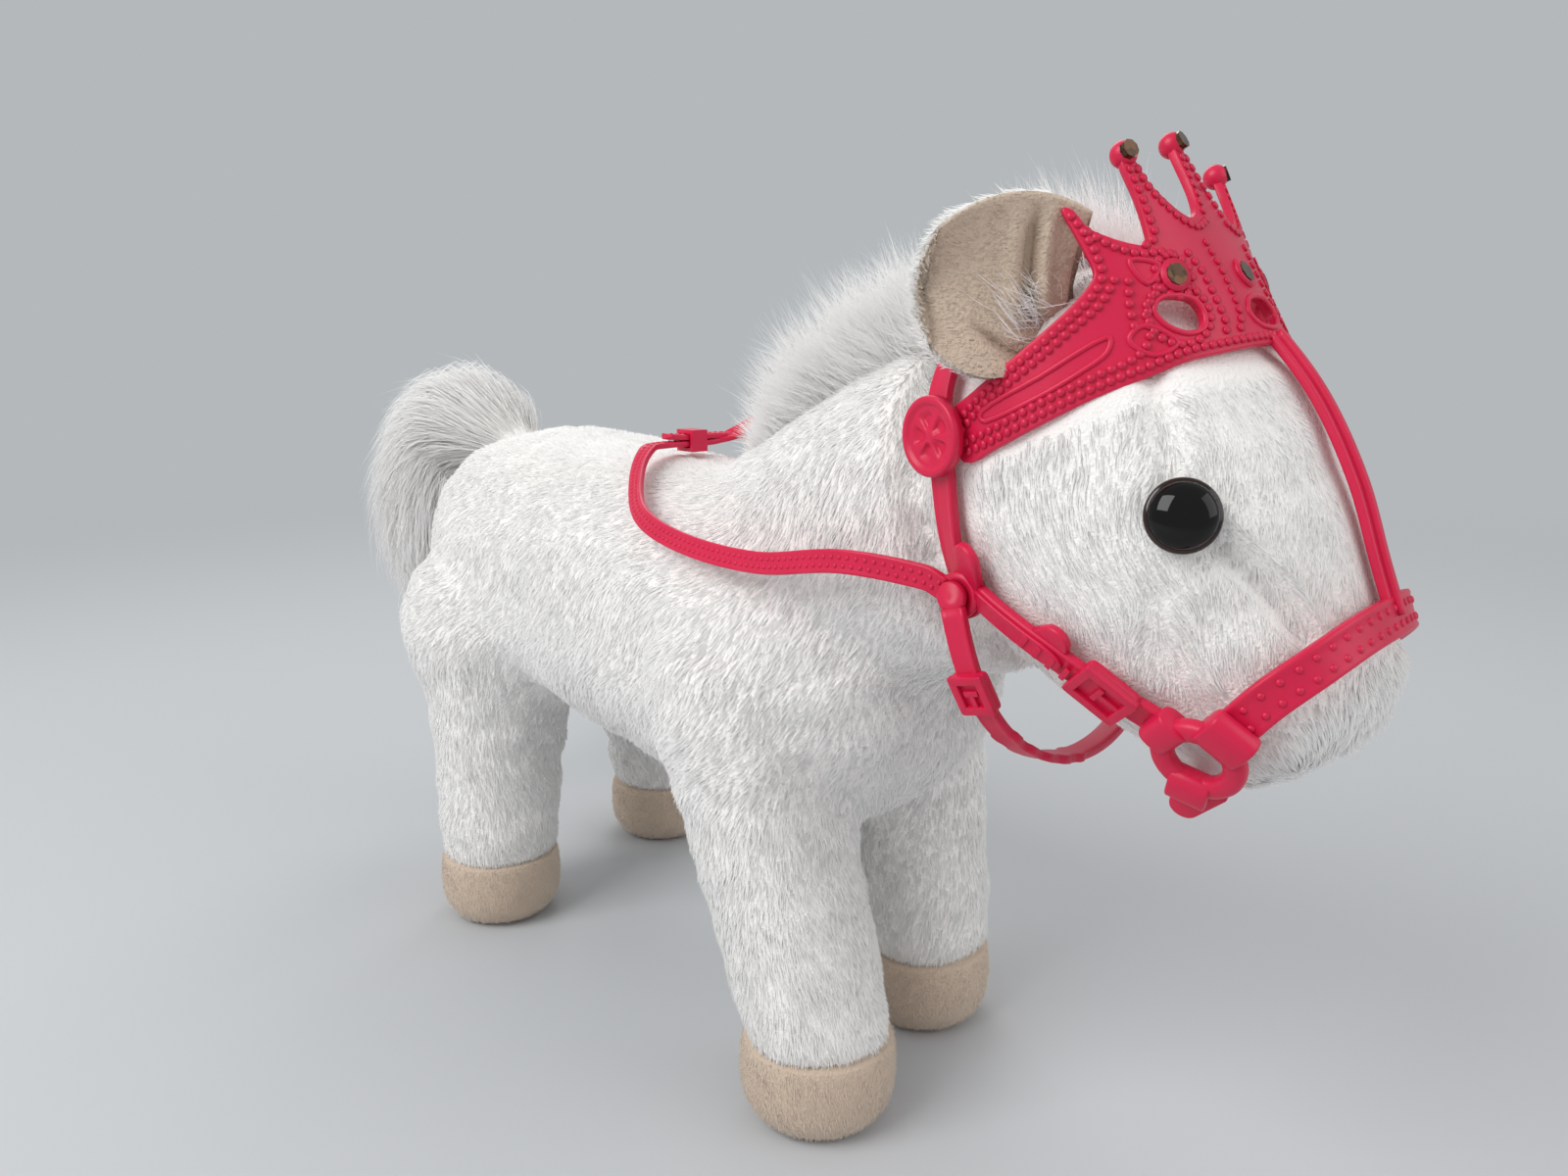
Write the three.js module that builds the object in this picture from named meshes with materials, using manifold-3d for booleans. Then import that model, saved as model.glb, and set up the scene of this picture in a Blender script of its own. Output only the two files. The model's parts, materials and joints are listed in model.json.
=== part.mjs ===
// Interactive plush horse: a stuffed toy horse with a nodding head, a moulded rubber bridle with a tiara
// browband, and a battery module in the belly. Millimetres, +X towards the nose, +Y to the horse's left,
// +Z up, the floor at Z = 0.
import * as THREE from "three";
import { mergeVertices } from "three/addons/utils/BufferGeometryUtils.js";
import Module from "manifold-3d";

const wasm = await Module();
wasm.setup();

// Driving dimensions
const GAP = 0.3; // clearance between pieces that seat on each other
const RUNNING = 0.08; // clearance round a pin that turns in its hole
const RIGHT = -1; // sign of Y on the horse's right side
const LEFT = 1;

const TORSO_LENGTH = 238; // rump to chest
const TORSO_RUMP_X = -128;
const BACK_Z = 173;
const BELLY_Z = 77;
const TORSO_HALF_WIDTH = 52;

const LEG_TOP_Z = 132;
const LEG_RADIUS = 21.5;
const SHOULDER_RADIUS = 28;
const THIGH_RADIUS = 35;
const FRONT_RIGHT = { foot: [88, -28], hip: [56, -33], upper: SHOULDER_RADIUS };
const FRONT_LEFT = { foot: [71, 31], hip: [58, 29], upper: SHOULDER_RADIUS };
const REAR_RIGHT = { foot: [-77, -40], hip: [-84, -31], upper: THIGH_RADIUS };
const REAR_LEFT = { foot: [-100, 48], hip: [-85, 31], upper: THIGH_RADIUS };

const HOOF_HEIGHT = 24;
const HOOF_RADIUS = 22;
const SOLE_RADIUS = 13;

const NOD_AXIS = { x: 135, z: 166 }; // the head turns about this line, along Y
const NOD_DOWN = 12; // degrees
const NOD_UP = 8;
const HEAD_TURN = 8; // degrees, how far the stuffed head looks to the horse's left
const NECK_BALL_RADIUS = 35;
const BALL_BACK = 18; // the ball is cut flat this far behind the nod axis
const CUP_DEPTH = 25.5; // and the neck's cup this far behind it

const HEAD_BACK = { x: NOD_AXIS.x - 2, z: NOD_AXIS.z + 41 }; // the head's own axis starts here
const HEAD_PITCH = 46.8; // degrees below level
const HEAD_LENGTH = 109.5;

const EYE = { s: 56.5, angle: 62, radius: 7, dome: 4.6 };
const EYE_SHANK = { radius: 2, length: 8 };

const EAR_ROOT = { x: HEAD_BACK.x + 26, y: 29, z: HEAD_BACK.z + 11 };
const EAR = { ...EAR_ROOT, length: 33, halfWidth: 20, thickness: 3.2, cup: 7 };
const EAR_FLOP = 8; // degrees to each side
const EAR_LINING = 1.2;

const TAIL_ROOT = { x: -119, z: 170 };
const TAIL_RADIUS = 31;
const TAIL_WAG = 20; // degrees to each side
const TAIL_BALL_RADIUS = 10; // the root turns in a hollow of the rump

const STRAP_THICKNESS = 2;
const STRAP_WIDTH = 6.5;
const STRAP_LIFT = 0.55; // how far a strap's inner face stands off the plush
const NOSEBAND_WIDTH = 8;
const RING_RADIUS = 7.1; // centre line
const RING_WIRE = 1.9;
const RING_PLACE = { s: HEAD_LENGTH - 17, angle: 108 };
const ROSETTE_RADIUS = 8.4;
const ROSETTE_THICKNESS = 2.4;
const JUNCTION = { s: 40, angle: 131 }; // where cheek strap, throat strap and rein meet
const REIN_WIDTH = 5.5;
const REIN_THICKNESS = 1.8;
const THROAT_LOW_Z = 116;

const TIARA_CENTRE = { x: HEAD_BACK.x + 13, z: HEAD_BACK.z - 14.3 }; // it is bent round a line through here
const TIARA_TILT = 22.7; // degrees that this line leans back
const TIARA_INNER = 41.2;
const TIARA_THICKNESS = 2;
const TIARA_LEAN = 7; // how far the centre peak leans in at its tip
const PEAK = { centre: 46, side: 42, angle: 33, ball: 2.7 };
const TIARA_END = 98; // degrees to each side
const BEAD_RADIUS = 0.9;
const BEAD_PITCH = 6;
const GEM_RADIUS = 2.3;
const ROSETTE_PLACE = { s: 13, angle: 103 };

const CELL_LENGTH = 50.5; // AA cell
const CELL_RADIUS = 7.2;
const CELL_PITCH = 15.2;
const BAY_X = -8; // middle of the battery bay
const BAY_HALF_LENGTH = CELL_LENGTH / 2 + 2.75; // a contact at each end
const BAY_HALF_WIDTH = 24;
const MODULE_BACK = BAY_X - BAY_HALF_LENGTH - 5; // the battery module's rear face
const MODULE_FRONT = BAY_X + BAY_HALF_LENGTH + 11;
const MODULE_HALF_WIDTH = 30;
const MODULE_BOTTOM_Z = 92;
const MODULE_SPLIT_Z = 116;
const MODULE_TOP_Z = 146;
const WALL = 2;
const SPEAKER_X = -14;
const DOOR_THICKNESS = 2;
const DOOR_PLAY = 0.4;
const DOOR_AXIS_INSET = 1.6; // from the bay's side wall to the hinge line
const SWITCH_TRAVEL = 3;

const POST_TILT = 22.2; // degrees that the neck post rises
const POST_HALF_WIDTH = 11;
const POST_HALF_HEIGHT = 8;
const FORK_HALF_GAP = 7.8;
const PIN_RADIUS = 2.4;
const GEAR_MODULE = 1;
const SECTOR_TEETH = 46; // of a full circle
const PINION_TEETH = 14;
const SECTOR_HALF_ANGLE = 27; // degrees
const GEAR_FACE = 5;
const BACKLASH = 0.5;

// Small vector and solid helpers
const vec = (x, y, z) => new THREE.Vector3(x, y, z);
const degrees = THREE.MathUtils.degToRad;

// A closed geometry as a manifold solid, with only its positions kept and shared vertices merged
function solid(geometry) {
  const bare = geometry.clone();
  bare.deleteAttribute("normal");
  bare.deleteAttribute("uv");
  const merged = mergeVertices(bare, 1e-4);
  return new wasm.Manifold(
    new wasm.Mesh({
      numProp: 3,
      vertProperties: merged.attributes.position.array,
      triVerts: new Uint32Array(merged.index.array),
    }),
  );
}

function geometryOf(made) {
  const mesh = made.getMesh();
  const places = new Float32Array(mesh.numVert * 3);
  for (let i = 0; i < mesh.numVert; i++) {
    places.set(mesh.vertProperties.subarray(i * mesh.numProp, i * mesh.numProp + 3), i * 3);
  }
  const geometry = new THREE.BufferGeometry();
  geometry.setAttribute("position", new THREE.BufferAttribute(places, 3));
  geometry.setIndex(new THREE.BufferAttribute(mesh.triVerts, 1));
  return geometry;
}

const joined = (first, ...rest) => rest.reduce((sum, next) => sum.add(next), first);
const cutBy = (first, ...rest) => rest.reduce((left, next) => left.subtract(next), first);

// Turns the faces of a body round where they came out pointing in
function outward(geometry) {
  const made = solid(geometry);
  if (made.volume() > 0) return made;
  const turned = geometry.clone();
  const order = turned.index.array;
  for (let i = 0; i < order.length; i += 3) [order[i + 1], order[i + 2]] = [order[i + 2], order[i + 1]];
  return solid(turned);
}

function box(x0, x1, y0, y1, z0, z1) {
  const geometry = new THREE.BoxGeometry(x1 - x0, y1 - y0, z1 - z0);
  geometry.translate((x0 + x1) / 2, (y0 + y1) / 2, (z0 + z1) / 2);
  return solid(geometry);
}

// A cylinder along Y, between y0 and y1
function rodY(radius, y0, y1, x, z, sides = 20) {
  const geometry = new THREE.CylinderGeometry(radius, radius, y1 - y0, sides);
  geometry.translate(x, (y0 + y1) / 2, z);
  return solid(geometry);
}

function rodZ(radius, z0, z1, x, y, sides = 20) {
  const geometry = new THREE.CylinderGeometry(radius, radius, z1 - z0, sides);
  geometry.rotateX(Math.PI / 2);
  geometry.translate(x, y, (z0 + z1) / 2);
  return solid(geometry);
}

function rodX(radius, x0, x1, y, z, sides = 20) {
  const geometry = new THREE.CylinderGeometry(radius, radius, x1 - x0, sides);
  geometry.rotateZ(Math.PI / 2);
  geometry.translate((x0 + x1) / 2, y, z);
  return solid(geometry);
}

// Turned about Y, its profile given as [radius, height] pairs
function lathe(profile, sides) {
  return outward(new THREE.LatheGeometry(profile.map(([r, y]) => new THREE.Vector2(r, y)), sides));
}

// A flat outline of [x, z] pairs between y0 and y1, with outlines cut out of it
function plateY(outline, y0, y1, cutouts = []) {
  const shape = new THREE.Shape(outline.map(([x, z]) => new THREE.Vector2(x, z)));
  cutouts.forEach((hole) => shape.holes.push(new THREE.Path(hole.map(([x, z]) => new THREE.Vector2(x, z)))));
  const geometry = new THREE.ExtrudeGeometry(shape, { depth: y1 - y0, bevelEnabled: false });
  geometry.rotateX(Math.PI / 2);
  geometry.translate(0, y1, 0);
  return outward(mergeVertices(bareOf(geometry), 1e-4));
}

function bareOf(geometry) {
  geometry.deleteAttribute("normal");
  geometry.deleteAttribute("uv");
  return geometry;
}

const moved = (made, matrix) => made.transform(matrix.elements);
const mirrored = (made) => made.mirror([0, 1, 0]);

// Turns a solid about the line along Y through (x, z)
function turnedY(made, angle, x, z) {
  return made.translate([-x, 0, -z]).rotate([0, angle, 0]).translate([x, 0, z]);
}

// A closed body through rings of equal count, with a fan on each end
function loft(rings) {
  const count = rings[0].length;
  const places = [];
  const faces = [];
  rings.forEach((ring) => ring.forEach((p) => places.push(p.x, p.y, p.z)));
  for (let i = 0; i + 1 < rings.length; i++) {
    for (let j = 0; j < count; j++) {
      const a = i * count + j;
      const b = i * count + ((j + 1) % count);
      faces.push(a, b, b + count, a, b + count, a + count);
    }
  }
  [0, rings.length - 1].forEach((i) => {
    const middle = rings[i].reduce((sum, p) => sum.add(p), vec(0, 0, 0)).divideScalar(count);
    const hub = places.length / 3;
    places.push(middle.x, middle.y, middle.z);
    for (let j = 0; j < count; j++) {
      const a = i * count + j;
      const b = i * count + ((j + 1) % count);
      faces.push(...(i === 0 ? [hub, b, a] : [hub, a, b]));
    }
  });
  const geometry = new THREE.BufferGeometry();
  geometry.setAttribute("position", new THREE.Float32BufferAttribute(places, 3));
  geometry.setIndex(faces);
  return outward(geometry);
}

// Smooth values between the rows of a table whose first column is the place
function between(table, place) {
  const last = table.length - 1;
  let i = 0;
  while (i < last - 1 && place > table[i + 1][0]) i++;
  const [x0, x1] = [table[i][0], table[i + 1][0]];
  const t = THREE.MathUtils.clamp((place - x0) / (x1 - x0), 0, 1);
  return table[i].slice(1).map((_, k) => {
    const column = k + 1;
    const slope = (j) => {
      const before = table[Math.max(j - 1, 0)];
      const after = table[Math.min(j + 1, last)];
      return (after[column] - before[column]) / (after[0] - before[0]);
    };
    const [v0, v1] = [table[i][column], table[i + 1][column]];
    const [m0, m1] = [slope(i) * (x1 - x0), slope(i + 1) * (x1 - x0)];
    const t2 = t * t;
    const t3 = t2 * t;
    return (2 * t3 - 3 * t2 + 1) * v0 + (t3 - 2 * t2 + t) * m0 + (-2 * t3 + 3 * t2) * v1 + (t3 - t2) * m1;
  });
}

// The share of a half-size that a squarish oval keeps at an angle, for its two axes
function oval(angle, power) {
  const squared = (v) => Math.sign(v) * Math.abs(v) ** (2 / power);
  return [squared(Math.cos(angle)), squared(Math.sin(angle))];
}

// A flat strap through points: normals point away from what it lies on, and its inner face is on the points
function ribbon(points, normals, widths, thickness) {
  const rings = points.map((p, i) => {
    const before = points[Math.max(i - 1, 0)];
    const after = points[Math.min(i + 1, points.length - 1)];
    const along = after.clone().sub(before).normalize();
    const across = normals[i].clone().cross(along).normalize();
    const out = along.clone().cross(across).normalize();
    const half = (Array.isArray(widths) ? widths[i] : widths) / 2;
    const bevel = thickness * 0.3;
    const corner = (w, t) => p.clone().addScaledVector(across, w).addScaledVector(out, t);
    return [
      corner(-half, 0),
      corner(-half, thickness - bevel),
      corner(-half + bevel, thickness),
      corner(half - bevel, thickness),
      corner(half, thickness - bevel),
      corner(half, 0),
    ];
  });
  return loft(rings);
}

// Torso: rows of place along X, top, bottom and half width
const TORSO_FRONT = TORSO_RUMP_X + TORSO_LENGTH;
const TORSO = [
  [TORSO_RUMP_X, 138, 130, 5],
  [TORSO_RUMP_X + 3, BACK_Z - 16, BELLY_Z + 36, 28],
  [TORSO_RUMP_X + 13, BACK_Z - 4, BELLY_Z + 22, 42],
  [TORSO_RUMP_X + 30, BACK_Z + 3, BELLY_Z + 11, TORSO_HALF_WIDTH],
  [TORSO_RUMP_X + 56, BACK_Z + 5, BELLY_Z + 6, TORSO_HALF_WIDTH + 3],
  [TORSO_RUMP_X + 90, BACK_Z + 2, BELLY_Z + 3, TORSO_HALF_WIDTH + 1],
  [TORSO_RUMP_X + 126, BACK_Z, BELLY_Z, TORSO_HALF_WIDTH],
  [TORSO_FRONT - 78, BACK_Z, BELLY_Z - 4, TORSO_HALF_WIDTH - 1],
  [TORSO_FRONT - 50, BACK_Z, BELLY_Z - 5, TORSO_HALF_WIDTH - 2],
  [TORSO_FRONT - 30, BACK_Z - 3, BELLY_Z - 1, TORSO_HALF_WIDTH - 6],
  [TORSO_FRONT - 13, BACK_Z - 12, BELLY_Z + 11, TORSO_HALF_WIDTH - 15],
  [TORSO_FRONT - 3, BACK_Z - 26, BELLY_Z + 27, TORSO_HALF_WIDTH - 29],
  [TORSO_FRONT, 129, 121, 5],
];

function torsoForm(grow) {
  const sides = 20;
  const places = TORSO.map((row) => row[0]);
  const extra = places.slice(3, -3).map((x, i) => (x + places[i + 4]) / 2);
  const stations = [...places, ...extra].sort((a, b) => a - b);
  const middle = TORSO_RUMP_X + TORSO_LENGTH / 2;
  return loft(
    stations.map((x) => {
      const [top, bottom, half] = between(TORSO, x);
      const grownX = x + (grow * 2 * (x - middle)) / TORSO_LENGTH;
      return Array.from({ length: sides }, (_, j) => {
        const [up, out] = oval((j / sides) * 2 * Math.PI, 2.25);
        return vec(grownX, out * (half + grow), (top + bottom) / 2 + up * ((top - bottom) / 2 + grow));
      });
    }),
  );
}

// Rings square to a line of [x, z, half height, half width] rows in the middle plane
function tubeForm(rows, sides, grow, power) {
  return loft(
    rows.map(([x, z, tall, half], i) => {
      const [x0, z0] = rows[Math.max(i - 1, 0)];
      const [x1, z1] = rows[Math.min(i + 1, rows.length - 1)];
      const along = vec(x1 - x0, 0, z1 - z0).normalize();
      const up = vec(-along.z, 0, along.x);
      return Array.from({ length: sides }, (_, j) => {
        const [u, w] = oval((j / sides) * 2 * Math.PI, power);
        return vec(x, 0, z).addScaledVector(up, u * (tall + grow)).add(vec(0, w * (half + grow), 0));
      });
    }),
  );
}

// The neck starts inside the torso and ends behind the nod axis; share 0 is its back end and 1 its front end
const NECK_BACK = { x: 34, z: 126 };
const NECK_FRONT = { x: NOD_AXIS.x - 13.4, z: NOD_AXIS.z + 5 };
const neckX = (share) => NECK_BACK.x + share * (NECK_FRONT.x - NECK_BACK.x);
const neckZ = (share) => NECK_BACK.z + share * (NECK_FRONT.z - NECK_BACK.z);
const NECK = [
  [NECK_BACK.x, NECK_BACK.z, 38, 42],
  [neckX(0.251), neckZ(0.333), 40, 42],
  [neckX(0.502), neckZ(0.622), 41, 40],
  [neckX(0.731), neckZ(0.822), 42, 39],
  [neckX(0.89), neckZ(0.933), 42, 38.5],
  [NECK_FRONT.x, NECK_FRONT.z, 41.5, 38],
];
const neckForm = (grow) => tubeForm(NECK, 18, grow, 2.1);

// The tail droops behind the rump
const TAIL = [
  [TAIL_ROOT.x - 3, TAIL_ROOT.z + 2, 6, 6],
  [TAIL_ROOT.x - 8, TAIL_ROOT.z + 7, 12, 12],
  [TAIL_ROOT.x - 21, TAIL_ROOT.z + 13, TAIL_RADIUS - 10, TAIL_RADIUS - 9],
  [TAIL_ROOT.x - 40, TAIL_ROOT.z + 6, TAIL_RADIUS - 2, TAIL_RADIUS],
  [TAIL_ROOT.x - 54, TAIL_ROOT.z - 16, TAIL_RADIUS, TAIL_RADIUS + 3],
  [TAIL_ROOT.x - 58, TAIL_ROOT.z - 42, TAIL_RADIUS - 3, TAIL_RADIUS],
  [TAIL_ROOT.x - 57, TAIL_ROOT.z - 66, TAIL_RADIUS - 10, TAIL_RADIUS - 8],
  [TAIL_ROOT.x - 55, TAIL_ROOT.z - 84, 9, 11],
];

function tailForm() {
  const rump = torsoForm(1);
  const turned = [-TAIL_WAG - 2, -TAIL_WAG / 2, TAIL_WAG / 2, TAIL_WAG + 2].map((angle) =>
    rump.translate([-TAIL_ROOT.x, 0, 0]).rotate([0, 0, angle]).translate([TAIL_ROOT.x, 0, 0]),
  );
  return cutBy(tubeForm(TAIL, 14, 0, 2), rump, ...turned).add(tailBall(TAIL_BALL_RADIUS));
}

function tailBall(radius) {
  const ball = new THREE.SphereGeometry(radius, 16, 10);
  ball.rotateX(Math.PI / 2);
  return solid(ball).translate([TAIL_ROOT.x, 0, TAIL_ROOT.z]);
}

// Legs and hooves
function legForm({ foot, hip, upper }) {
  const sides = 12;
  const rows = [
    [HOOF_HEIGHT + GAP, LEG_RADIUS - 1],
    [HOOF_HEIGHT + 5, LEG_RADIUS + 0.3],
    [46, LEG_RADIUS + 1.2],
    [66, (LEG_RADIUS * 4 + upper) / 5 + 0.6],
    [86, (LEG_RADIUS + upper) / 2],
    [108, upper - 0.5],
    [LEG_TOP_Z - 8, upper - 2],
    [LEG_TOP_Z, upper - 9],
  ];
  return loft(
    rows.map(([z, radius]) => {
      const share = (z - HOOF_HEIGHT) / (LEG_TOP_Z - HOOF_HEIGHT);
      const x = foot[0] + (hip[0] - foot[0]) * share;
      const y = foot[1] + (hip[1] - foot[1]) * share;
      return Array.from({ length: sides }, (_, j) => {
        const turn = (j / sides) * 2 * Math.PI;
        return vec(x + Math.cos(turn) * radius, y + Math.sin(turn) * radius, z);
      });
    }),
  );
}

function hoofForm({ foot }) {
  const profile = [
    [0, 0],
    [SOLE_RADIUS, 0],
    [HOOF_RADIUS - 4.5, 1.8],
    [HOOF_RADIUS - 1, 7],
    [HOOF_RADIUS, 14],
    [HOOF_RADIUS - 0.4, HOOF_HEIGHT - 3],
    [LEG_RADIUS - 0.5, HOOF_HEIGHT],
    [0, HOOF_HEIGHT],
  ];
  return lathe(profile, 14).rotate([90, 0, 0]).translate([foot[0], foot[1], 0]);
}

// Head: rows of place along the head's axis, half height to the face, half height to the jaw, half width
const HEAD = [
  [-8, 5, 5, 5],
  [-6.5, 18, 16, 20],
  [-2, 27, 27, 32],
  [6, 33.5, 36, 39],
  [18, 37.5, 42, 41.5],
  [32, 38.5, 44.5, 43],
  [48, 37.5, 44, 43.5],
  [HEAD_LENGTH - 44.5, 33, 39.5, 41],
  [HEAD_LENGTH - 29.5, 26.5, 33, 35.5],
  [HEAD_LENGTH - 16.5, 21, 28, 31],
  [HEAD_LENGTH - 8, 17, 24, 28],
  [HEAD_LENGTH - 2.5, 10, 15, 19],
  [HEAD_LENGTH, 3, 4, 6],
];
const headAlong = vec(Math.cos(degrees(HEAD_PITCH)), 0, -Math.sin(degrees(HEAD_PITCH)));
const headUp = vec(-headAlong.z, 0, headAlong.x);
const HEAD_POWER = 2.25;

// A point on the head: s along its axis, angle in degrees from the face's middle line to the horse's right
function headPoint(s, angle, lift = 0) {
  const [up, low, half] = between(HEAD, s);
  const [u, w] = oval(degrees(angle), HEAD_POWER);
  const point = vec(HEAD_BACK.x, 0, HEAD_BACK.z).addScaledVector(headAlong, s);
  point.addScaledVector(headUp, u * (u > 0 ? up : low)).add(vec(0, -w * half, 0));
  return lift ? point.addScaledVector(headNormal(s, angle), lift) : point;
}

function headNormal(s, angle) {
  const ds = headPoint(s + 1, angle).sub(headPoint(s - 1, angle));
  const da = headPoint(s, angle + 2).sub(headPoint(s, angle - 2));
  return da.cross(ds).normalize();
}

function headForm(grow) {
  const sides = 20;
  const places = HEAD.map((row) => row[0]);
  const extra = places.slice(3, -2).map((s, i) => (s + places[i + 4]) / 2);
  const stations = [...places, ...extra].sort((a, b) => a - b);
  return loft(
    stations.map((s) => {
      const steady = THREE.MathUtils.clamp(s, -5, HEAD_LENGTH - 5);
      return Array.from({ length: sides }, (_, j) => {
        const angle = (j / sides) * 360;
        return headPoint(s, angle).addScaledVector(headNormal(steady, angle), grow);
      });
    }),
  );
}

// Ears: a cupped leaf. a runs from the seam to the tip and b across, -1 to 1
const earAlong = vec(-0.72, -0.69, 0.03).normalize();
const earFacing = vec(0.69, -0.72, 0.02).normalize();
const earAcross = earAlong.clone().cross(earFacing).normalize();

function earPoint(a, b, offset, inset) {
  const width = (EAR.halfWidth - inset) * Math.sin(Math.PI * (0.24 + 0.66 * a)) ** 0.6;
  const cup = EAR.cup * (b * b * (0.35 + a * 0.4) - 0.5 * (1 - a) * (1 - a));
  return vec(EAR.x, -EAR.y, EAR.z)
    .addScaledVector(earAlong, 2 + inset + a * (EAR.length - 2 * inset) - 3 * b * b)
    .addScaledVector(earAcross, b * width)
    .addScaledVector(earFacing, cup + offset);
}

function earSheet(front, back, inset) {
  const [rows, columns] = [5, 5];
  return loft(
    Array.from({ length: rows + 1 }, (_, i) => {
      const a = i / rows;
      const line = Array.from({ length: columns + 1 }, (_unused, j) => -1 + (2 * j) / columns);
      const frontLine = line.map((b) => earPoint(a, b, front, inset));
      const backLine = line.reverse().map((b) => earPoint(a, b, back, inset));
      return [...frontLine, ...backLine];
    }),
  );
}

// A tuft that stands on a ridge: rows of X, ridge Z, height and half width; it leans by a share of its height
function tuftForm(rows, root, leanX, leanY) {
  const sides = 12;
  return loft(
    rows.map(([x, z, tall, half]) =>
      Array.from({ length: sides }, (_, j) => {
        const turn = (j / sides) * 2 * Math.PI;
        const rise = ((Math.cos(turn) + 1) / 2) * (tall + root) - root;
        const over = Math.max(rise, 0);
        return vec(x + leanX * over, Math.sin(turn) * half + leanY * over, z + rise);
      }),
    ),
  );
}
const MANE = [
  [neckX(-0.308), BACK_Z - 7, 14, 6],
  [neckX(-0.16), BACK_Z - 3, 24, 9],
  [neckX(0.114), BACK_Z + 8, 33, 12],
  [neckX(0.388), NOD_AXIS.z + 26, 36, 13],
  [neckX(0.616), NOD_AXIS.z + 35, 32, 12],
  [neckX(0.776), NOD_AXIS.z + 40, 20, 9],
];
const FORELOCK = [
  [HEAD_BACK.x - 5, HEAD_BACK.z + 9, 8, 6],
  [HEAD_BACK.x, HEAD_BACK.z + 11, 17, 11],
  [HEAD_BACK.x + 10, HEAD_BACK.z + 12, 22, 14],
  [HEAD_BACK.x + 19, HEAD_BACK.z + 11, 20, 14],
  [HEAD_BACK.x + 26, HEAD_BACK.z + 9, 12, 9],
  [HEAD_BACK.x + 29, HEAD_BACK.z + 8, 6, 5],
];

function neckBall(radius) {
  const geometry = new THREE.SphereGeometry(radius, 18, 10);
  geometry.rotateX(Math.PI / 2);
  return solid(geometry).translate([NOD_AXIS.x, 0, NOD_AXIS.z]);
}

// Everything ahead of a plane that crosses the neck's line this far behind the nod axis
function behindNod(distance) {
  const block = box(-distance, 100, -60, 60, -60, 60);
  return block.rotate([0, -POST_TILT, 0]).translate([NOD_AXIS.x, 0, NOD_AXIS.z]);
}

// Straps on the head, through [s, angle, lift] places; grow leaves room for one in the plush
function strapOnHead(route, width, grow = 0, steps = 24) {
  const places = new THREE.CatmullRomCurve3(
    route.map(([s, angle, lift = 0]) => vec(s, angle, lift)),
    false,
    "centripetal",
  ).getPoints(steps);
  const points = places.map((p) => headPoint(p.x, p.y, p.z + STRAP_LIFT - grow));
  const normals = places.map((p) => headNormal(p.x, p.y));
  return ribbon(points, normals, width + 2 * grow, STRAP_THICKNESS + 2 * grow);
}

// Sets a solid made about the origin, its own Z outward, down on the head; X points towards the muzzle
function onHead(made, s, angle, lift, spin = 0) {
  const out = headNormal(s, angle);
  const ahead = headPoint(s + 1, angle).sub(headPoint(s - 1, angle));
  const across = out.clone().cross(ahead).normalize();
  const frame = new THREE.Matrix4().makeBasis(across.clone().cross(out), across, out);
  frame.setPosition(headPoint(s, angle, lift));
  return moved(made, frame.multiply(new THREE.Matrix4().makeRotationZ(degrees(spin))));
}

// Turns a solid from the head's own frame, which is straight ahead, to where the head looks
function looking(made) {
  return made.translate([-NOD_AXIS.x, 0, 0]).rotate([0, 0, HEAD_TURN]).translate([NOD_AXIS.x, 0, 0]);
}
const lookingPoint = (p) => {
  const turned = p.clone().sub(vec(NOD_AXIS.x, 0, 0)).applyAxisAngle(vec(0, 0, 1), degrees(HEAD_TURN));
  return turned.add(vec(NOD_AXIS.x, 0, 0));
};

// Tiara: a flat moulding bent round a leaning line, by degrees from the front and height along the line
const tiltSlope = degrees(TIARA_TILT);
const tiaraUp = vec(-Math.sin(tiltSlope), 0, Math.cos(tiltSlope));
const tiaraAhead = vec(Math.cos(tiltSlope), 0, Math.sin(tiltSlope));

function tiaraRadius(azimuth, height) {
  const middle = Math.cos(degrees(Math.min(Math.abs(azimuth), 50) * 1.8)) ** 2;
  return TIARA_INNER - (TIARA_LEAN * middle * Math.max(height, 0)) / PEAK.centre;
}

function tiaraPoint(azimuth, height, out = 0, radius = tiaraRadius(azimuth, height)) {
  const turn = degrees(azimuth);
  return vec(TIARA_CENTRE.x, 0, TIARA_CENTRE.z)
    .addScaledVector(tiaraUp, height)
    .addScaledVector(tiaraAhead, Math.cos(turn) * (radius + out))
    .add(vec(0, -Math.sin(turn) * (radius + out), 0));
}

// The sheet that the tiara is cut from, between two distances from its inner face
function tiaraSheet(inner, outer, steps = 28) {
  const heights = [-12, 2, 26, 52];
  const azimuths = Array.from({ length: steps + 1 }, (_, i) => ((2 * i) / steps - 1) * TIARA_END);
  return loft(
    azimuths.map((azimuth) => [
      ...heights.map((h) => tiaraPoint(azimuth, h, outer)),
      ...heights.toReversed().map((h) => tiaraPoint(azimuth, h, inner)),
    ]),
  );
}

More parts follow.
